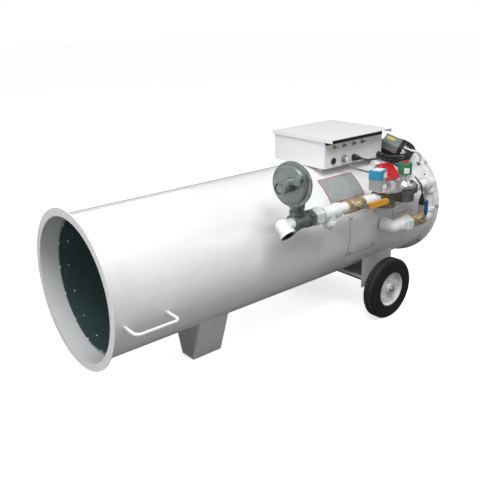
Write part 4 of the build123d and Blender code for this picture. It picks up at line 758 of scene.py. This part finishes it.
def mains_plug(start):
    """A moulded plug with a finger grip, two blades and an earth pin."""
    heading = Vector((6.0, 44.0, -11.0)).normalized()
    profile = [
        (0.0, 0.0), (0.0, 0.0066), (0.004, 0.0072), (0.009, 0.0080), (0.012, 0.0105), (0.015, 0.0122),
        (0.0175, 0.0125), (0.0185, 0.0117), (0.0200, 0.0117), (0.0210, 0.0125), (0.0225, 0.0125),
        (0.0235, 0.0117), (0.0250, 0.0117), (0.0260, 0.0125), (0.0345, 0.0125), (0.0357, 0.0118),
        (0.036, 0.0105), (0.036, 0.0),
    ]
    body = revolved("mains_plug_body", profile, start, heading, "black_plastic", steps=40)
    over = heading.cross(Vector((1, 0, 0))).normalized()
    side = over.cross(heading)
    bm = bmesh.new()
    turn = Matrix((side, over, heading)).transposed().to_4x4()
    blade = Matrix.Diagonal((0.0016, 0.0064, 0.0178, 1))
    for x in (-0.006, 0.006):
        place = Matrix.Translation(start + heading * 0.044 + side * x + over * 0.003) @ turn
        bmesh.ops.create_cube(bm, size=1.0, matrix=place @ blade)
    place = Matrix.Translation(start + heading * 0.0445 - over * 0.006) @ turn
    bmesh.ops.create_cone(bm, cap_ends=True, segments=20, radius1=0.0024, radius2=0.0018, depth=0.019,
                          matrix=place)
    pins = add_piece("mains_plug_pins", bm, "brass")
    pins.parent = body
    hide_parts("power_plug")
    return body


# Plates and cards


def curved_plate(name, x_range, angles, material, thick=0.0005, lift=0.0, corner=0.004):
    """A thin plate with rounded corners that lies on the casing."""
    middle = (x_range[0] + x_range[1]) / 2
    half = (x_range[1] - x_range[0]) / 2
    arc_half = radians(abs(angles[1] - angles[0])) / 2 * SHELL_R
    mid_angle = (angles[0] + angles[1]) / 2
    row_step, corner_steps, column_steps = 0.006, 6, 10
    rows = [-arc_half + corner * (1 - cos(pi / 2 * k / corner_steps)) for k in range(corner_steps + 1)]
    inner = max(2, int(2 * arc_half / row_step))
    rows += [-arc_half + corner + (2 * arc_half - 2 * corner) * k / inner for k in range(1, inner)]
    rows += [-r for r in reversed(rows[:corner_steps + 1])]
    columns = [-1 + 2 * k / column_steps for k in range(column_steps + 1)]
    bm = bmesh.new()
    layers = []
    for height in (lift, lift + thick):
        grid = []
        for v in rows:
            inset = corner - (arc_half - abs(v))
            reach = half - (corner - sqrt(max(corner**2 - inset**2, 0.0)) if inset > 0 else 0.0)
            angle = mid_angle + v / SHELL_R * 180 / pi
            spots = [on_shell(middle + c * reach, angle, SHELL_R + height) for c in columns]
            grid.append([bm.verts.new(spot) for spot in spots])
        layers.append(grid)
    for grid in layers:
        for a, b in zip(grid, grid[1:]):
            for k in range(len(columns) - 1):
                bm.faces.new((a[k], a[k + 1], b[k + 1], b[k]))
    wall(bm, *(g[0] + [r[-1] for r in g[1:]] + g[-1][-2::-1] + [r[0] for r in g[-2:0:-1]] for g in layers))
    return add_piece(name, bm, material, 40.0)


def flat_card(name, centre, normal, up, size, material, corner=0.0015, thick=0.0004):
    """A thin card with rounded corners that lies on a flat face."""
    normal = Vector(normal).normalized()
    up = Vector(up).normalized()
    side = up.cross(normal)
    outline = []
    for x, y, start in ((1, 1, 0), (-1, 1, 90), (-1, -1, 180), (1, -1, 270)):
        for k in range(5):
            turn = radians(start + 22.5 * k)
            outline.append((x * (size[0] / 2 - corner) + corner * cos(turn),
                            y * (size[1] / 2 - corner) + corner * sin(turn)))
    bm = bmesh.new()
    low = [bm.verts.new(Vector(centre) + side * x + up * y) for x, y in outline]
    high = [bm.verts.new(v.co + normal * thick) for v in low]
    bm.faces.new(low)
    bm.faces.new(high)
    wall(bm, low, high)
    return add_piece(name, bm, material)


def drum_card(name, centre, radius, angles, heights, material, thick=0.0005):
    """A thin card wrapped round an upright drum."""
    bm = bmesh.new()
    steps = 10
    outer, (low, high) = radius + thick, heights
    rings = []
    for reach, height in ((radius, low), (radius, high), (outer, high), (outer, low)):
        row = []
        for k in range(steps + 1):
            turn = radians(angles[0] + (angles[1] - angles[0]) * k / steps)
            spot = tube(centre[0] + reach * cos(turn), centre[1] + reach * sin(turn), height)
            row.append(bm.verts.new(spot))
        rings.append(row)
    for a, b in zip(rings, rings[1:] + rings[:1]):
        for k in range(steps):
            bm.faces.new((a[k], a[k + 1], b[k + 1], b[k]))
    for end in (0, -1):
        bm.faces.new([row[end] for row in rings])
    return add_piece(name, bm, material)


# Each row: name, reach along the casing, angles round it, finish, thickness, lift, corner radius.
SHELL_PLATES = (
    ("notice_panel_border", (0.995, 1.194), (31.6, 57.4), "red_border", 0.0004, 0.0, 0.004),
    ("notice_panel", (0.999, 1.190), (32.5, 56.5), "grey_card", 0.0003, 0.0004, 0.002),
    ("data_plate_edge", (1.337, 1.442), (4.9, 14.1), "edge_card", 0.0004, 0.0, 0.004),
    ("data_plate", (1.339, 1.440), (5.4, 13.6), "white_card", 0.0003, 0.0004, 0.002),
    ("oval_plate_edge", (1.588, 1.621), (25.6, 37.6), "edge_card", 0.0005, 0.0, 0.0155),
    ("oval_plate", (1.5892, 1.6198), (25.9, 37.3), "white_card", 0.0005, 0.0005, 0.0145),
    ("oval_plate_plug", (1.600, 1.609), (33.2, 35.3), "black_plastic", 0.0012, 0.001, 0.0044),
    ("oval_plate_slot", (1.602, 1.608), (28.6, 31.0), "edge_card", 0.0004, 0.001, 0.0028),
)


def shell_plates():
    """Bare plates on the casing: a bordered panel, a data plate and an oval socket plate."""
    for row in SHELL_PLATES:
        curved_plate(*row)


def door_edge_shadow():
    """A grey strip round the access door, painted shadow along the door's edges: its two upright sides, then
    below and above.
    """
    low, high = -22.33, 16.74
    whole = (1.0683, 1.2420)
    shadow_strips = (((1.0683, 1.0710), (low, high)), ((1.2400, 1.2420), (low, high)),
             (whole, (low - 0.5, low)), (whole, (high, high + 0.4)))
    for x_range, angles in shadow_strips:
        shadow_strip = curved_plate("door_edge_shadow", x_range, angles, "door_edge_shadow", 0.0012, corner=0.0008)


def device_cards():
    """Bare cards on the valve cover, the actuator, the coil and the transformer, and a bare round tag."""
    turn = radians(COVER_TURN)
    along = Vector((cos(turn), sin(turn), 0))
    back = Vector((-sin(turn), cos(turn), 0))
    upward = Vector((0, 0, 1))
    middle = tube(COVER_X, TRAIN_Y, 0)
    near = middle - back * COVER_HALF_DEPTH
    round_shell, out = casing_ways(TRANSFORMER_LEAN)
    spin = radians(TRANSFORMER_TURN)
    first = Vector((1, 0, 0)) * cos(spin) + round_shell * sin(spin)
    second = round_shell * cos(spin) - Vector((1, 0, 0)) * sin(spin)
    on_transformer = tube(1.452, 0, 0) + out * 0.340 + first * 0.0052 + second * 0.0095
    cards = (
        ("cover_blue", flat_card("cover_top_card", middle + upward * 0.2595, upward, back, (0.047, 0.038),
                                 "white_card")),
        ("cover_blue", flat_card("cover_side_card", near + along * 0.010 + upward * 0.2385, -back, upward,
                                 (0.030, 0.022), "white_card")),
        ("cover_blue", flat_card("cover_side_strip", near + along * 0.010 + upward * 0.2523, -back, upward,
                                 (0.030, 0.0055), "orange_card", corner=0.001)),
        ("aluminium", flat_card("actuator_card", near + along * 0.008 + upward * 0.1935, -back, upward,
                                (0.034, 0.018), "white_card")),
        ("coil_green", drum_card("coil_card", (1.314, TRAIN_Y), 0.0275, (-149, -104), (0.2203, 0.2420),
                                 "white_card")),
        ("aluminium", flat_card("coil_tag", tube(1.3375, TRAIN_Y - 0.0185, 0.199), (-0.45, -0.88, 0.12),
                                (0, 0.13, 1), (0.024, 0.024), "white_card", corner=0.0115, thick=0.0010)),
        ("transformer_grey", flat_card("transformer_card", on_transformer, out, first, (0.035, 0.026),
                                       "yellow_card")),
    )


# Small repeated shapes


def shape_tree(name, lengths):
    """A Geometry Nodes tree that takes points, the named lengths and a finish."""
    tree = bpy.data.node_groups.new(name, "GeometryNodeTree")
    inputs = [("Geometry", "Geometry"), *((label, "Float") for label in lengths), ("Finish", "Material")]
    for label, kind in inputs:
        tree.interface.new_socket(label, in_out="INPUT", socket_type="NodeSocket" + kind)
    tree.interface.new_socket("Geometry", in_out="OUTPUT", socket_type="NodeSocketGeometry")
    return tree, add_node(tree, "NodeGroupInput").outputs


def spread_on_points(tree, given, shape, **turn):
    """The last nodes of a tree: the shape at every point, made real and given its finish."""
    spots = {"Points": given["Geometry"], "Instance": shape, **turn}
    spread = add_node(tree, "GeometryNodeInstanceOnPoints", spots).outputs["Instances"]
    real = add_node(tree, "GeometryNodeRealizeInstances", {"Geometry": spread}).outputs["Geometry"]
    paint = add_node(tree, "GeometryNodeSetMaterial", {"Geometry": real, "Material": given["Finish"]})
    add_node(tree, "NodeGroupOutput", {"Geometry": paint.outputs["Geometry"]})


def stud_tree():
    """Geometry Nodes: a domed head at every point, turned to face along the point's facing."""
    tree, given = shape_tree("stud_heads", ("Radius", "Rise"))
    head = add_node(tree, "GeometryNodeMeshUVSphere", {"Segments": 14, "Rings": 8, "Radius": 1.0})
    axes = {"X": given["Radius"], "Y": given["Radius"], "Z": given["Rise"]}
    scale = add_node(tree, "ShaderNodeCombineXYZ", axes).outputs["Vector"]
    squash = add_node(tree, "GeometryNodeTransform", {"Geometry": head.outputs["Mesh"], "Scale": scale})
    smooth = add_node(tree, "GeometryNodeSetShadeSmooth", {"Geometry": squash.outputs["Geometry"]})
    facing = add_node(tree, "GeometryNodeInputNamedAttribute", {"Name": "facing"}, data_type="FLOAT_VECTOR")
    way = {"Vector": facing.outputs["Attribute"]}
    turn = add_node(tree, "FunctionNodeAlignRotationToVector", way, axis="Z")
    spread_on_points(tree, given, smooth.outputs["Geometry"], Rotation=turn.outputs["Rotation"])
    return tree


def rib_tree():
    """Geometry Nodes: a round rib about the wheel's axle at every point."""
    tree, given = shape_tree("tread_ribs", ("Radius", "Half Thickness"))
    circle = "GeometryNodeCurvePrimitiveCircle"
    path = add_node(tree, circle, {"Resolution": 120, "Radius": given["Radius"]}).outputs["Curve"]
    upright = add_node(tree, "GeometryNodeTransform", {"Geometry": path, "Rotation": (pi / 2, 0.0, 0.0)})
    section = add_node(tree, circle, {"Resolution": 8, "Radius": given["Half Thickness"]}).outputs["Curve"]
    curves = {"Curve": upright.outputs["Geometry"], "Profile Curve": section}
    ring = add_node(tree, "GeometryNodeCurveToMesh", curves)
    spread_on_points(tree, given, ring.outputs["Mesh"])
    return tree


def grown(name, seed, tree, values, body="heater"):
    """A node tree run on a seed mesh and baked to one plain piece."""
    holder = linked(name + "_seed", seed)
    grow = holder.modifiers.new("grow", "NODES")
    grow.node_group = tree
    for item in tree.interface.items_tree:
        if item.in_out == "INPUT" and item.name in values:
            grow[item.identifier] = values[item.name]
    bpy.context.view_layer.update()
    ready = holder.evaluated_get(bpy.context.evaluated_depsgraph_get())
    baked = bpy.data.meshes.new_from_object(ready)
    holder.modifiers.remove(grow)
    bpy.data.objects.remove(holder)
    baked.name = name
    add_object(name, baked, body)


def liner_rivets():
    """Two rows of domed heads round the liner's mouth, which face its axis."""
    points, facings = [], []
    for x in RIVET_ROWS_X:
        for angle in RIVET_ANGLES:
            out = casing_ways(angle)[1]
            points.append(tuple(tube(x, 0, 0) + out * LINER_INSIDE_R))
            facings.append(-out)
    seed = bpy.data.meshes.new("liner_rivets_points")
    seed.from_pydata(points, [], [])
    facing = seed.attributes.new("facing", "FLOAT_VECTOR", "POINT")
    for k, way in enumerate(facings):
        facing.data[k].vector = way.normalized()
    values = {"Radius": 0.0040, "Rise": 0.0022, "Finish": FINISHES["aluminium"]}
    grown("liner_rivets", seed, stud_tree(), values)


def tread_ribs():
    tree = rib_tree()
    for side in ("left", "right"):
        tyre = side + "_tyre"
        low, high = extent([v.co for v in bpy.data.objects[tyre].data.vertices])
        middle = (low + high) / 2
        seed = bpy.data.meshes.new(tyre + "_rib_points")
        points = [(middle.x, middle.y + shift, middle.z) for shift in TREAD_RIB_SHIFTS]
        seed.from_pydata(points, [], [])
        # The ribs get the lighter rubber, which paints a highlight along each one.
        values = {"Radius": (high.z - low.z) / 2 - TREAD_RIB_INSET, "Half Thickness": TREAD_RIB_HALF,
                  "Finish": FINISHES["rib_rubber_highlight"]}
        grown(side + "_tread_ribs", seed, tree, values, body_of_node(tyre))


make_finishes()
photo_camera()
studio()
dress_everything()
lay_cords()
shell_plates()
door_edge_shadow()
device_cards()
liner_rivets()
tread_ribs()
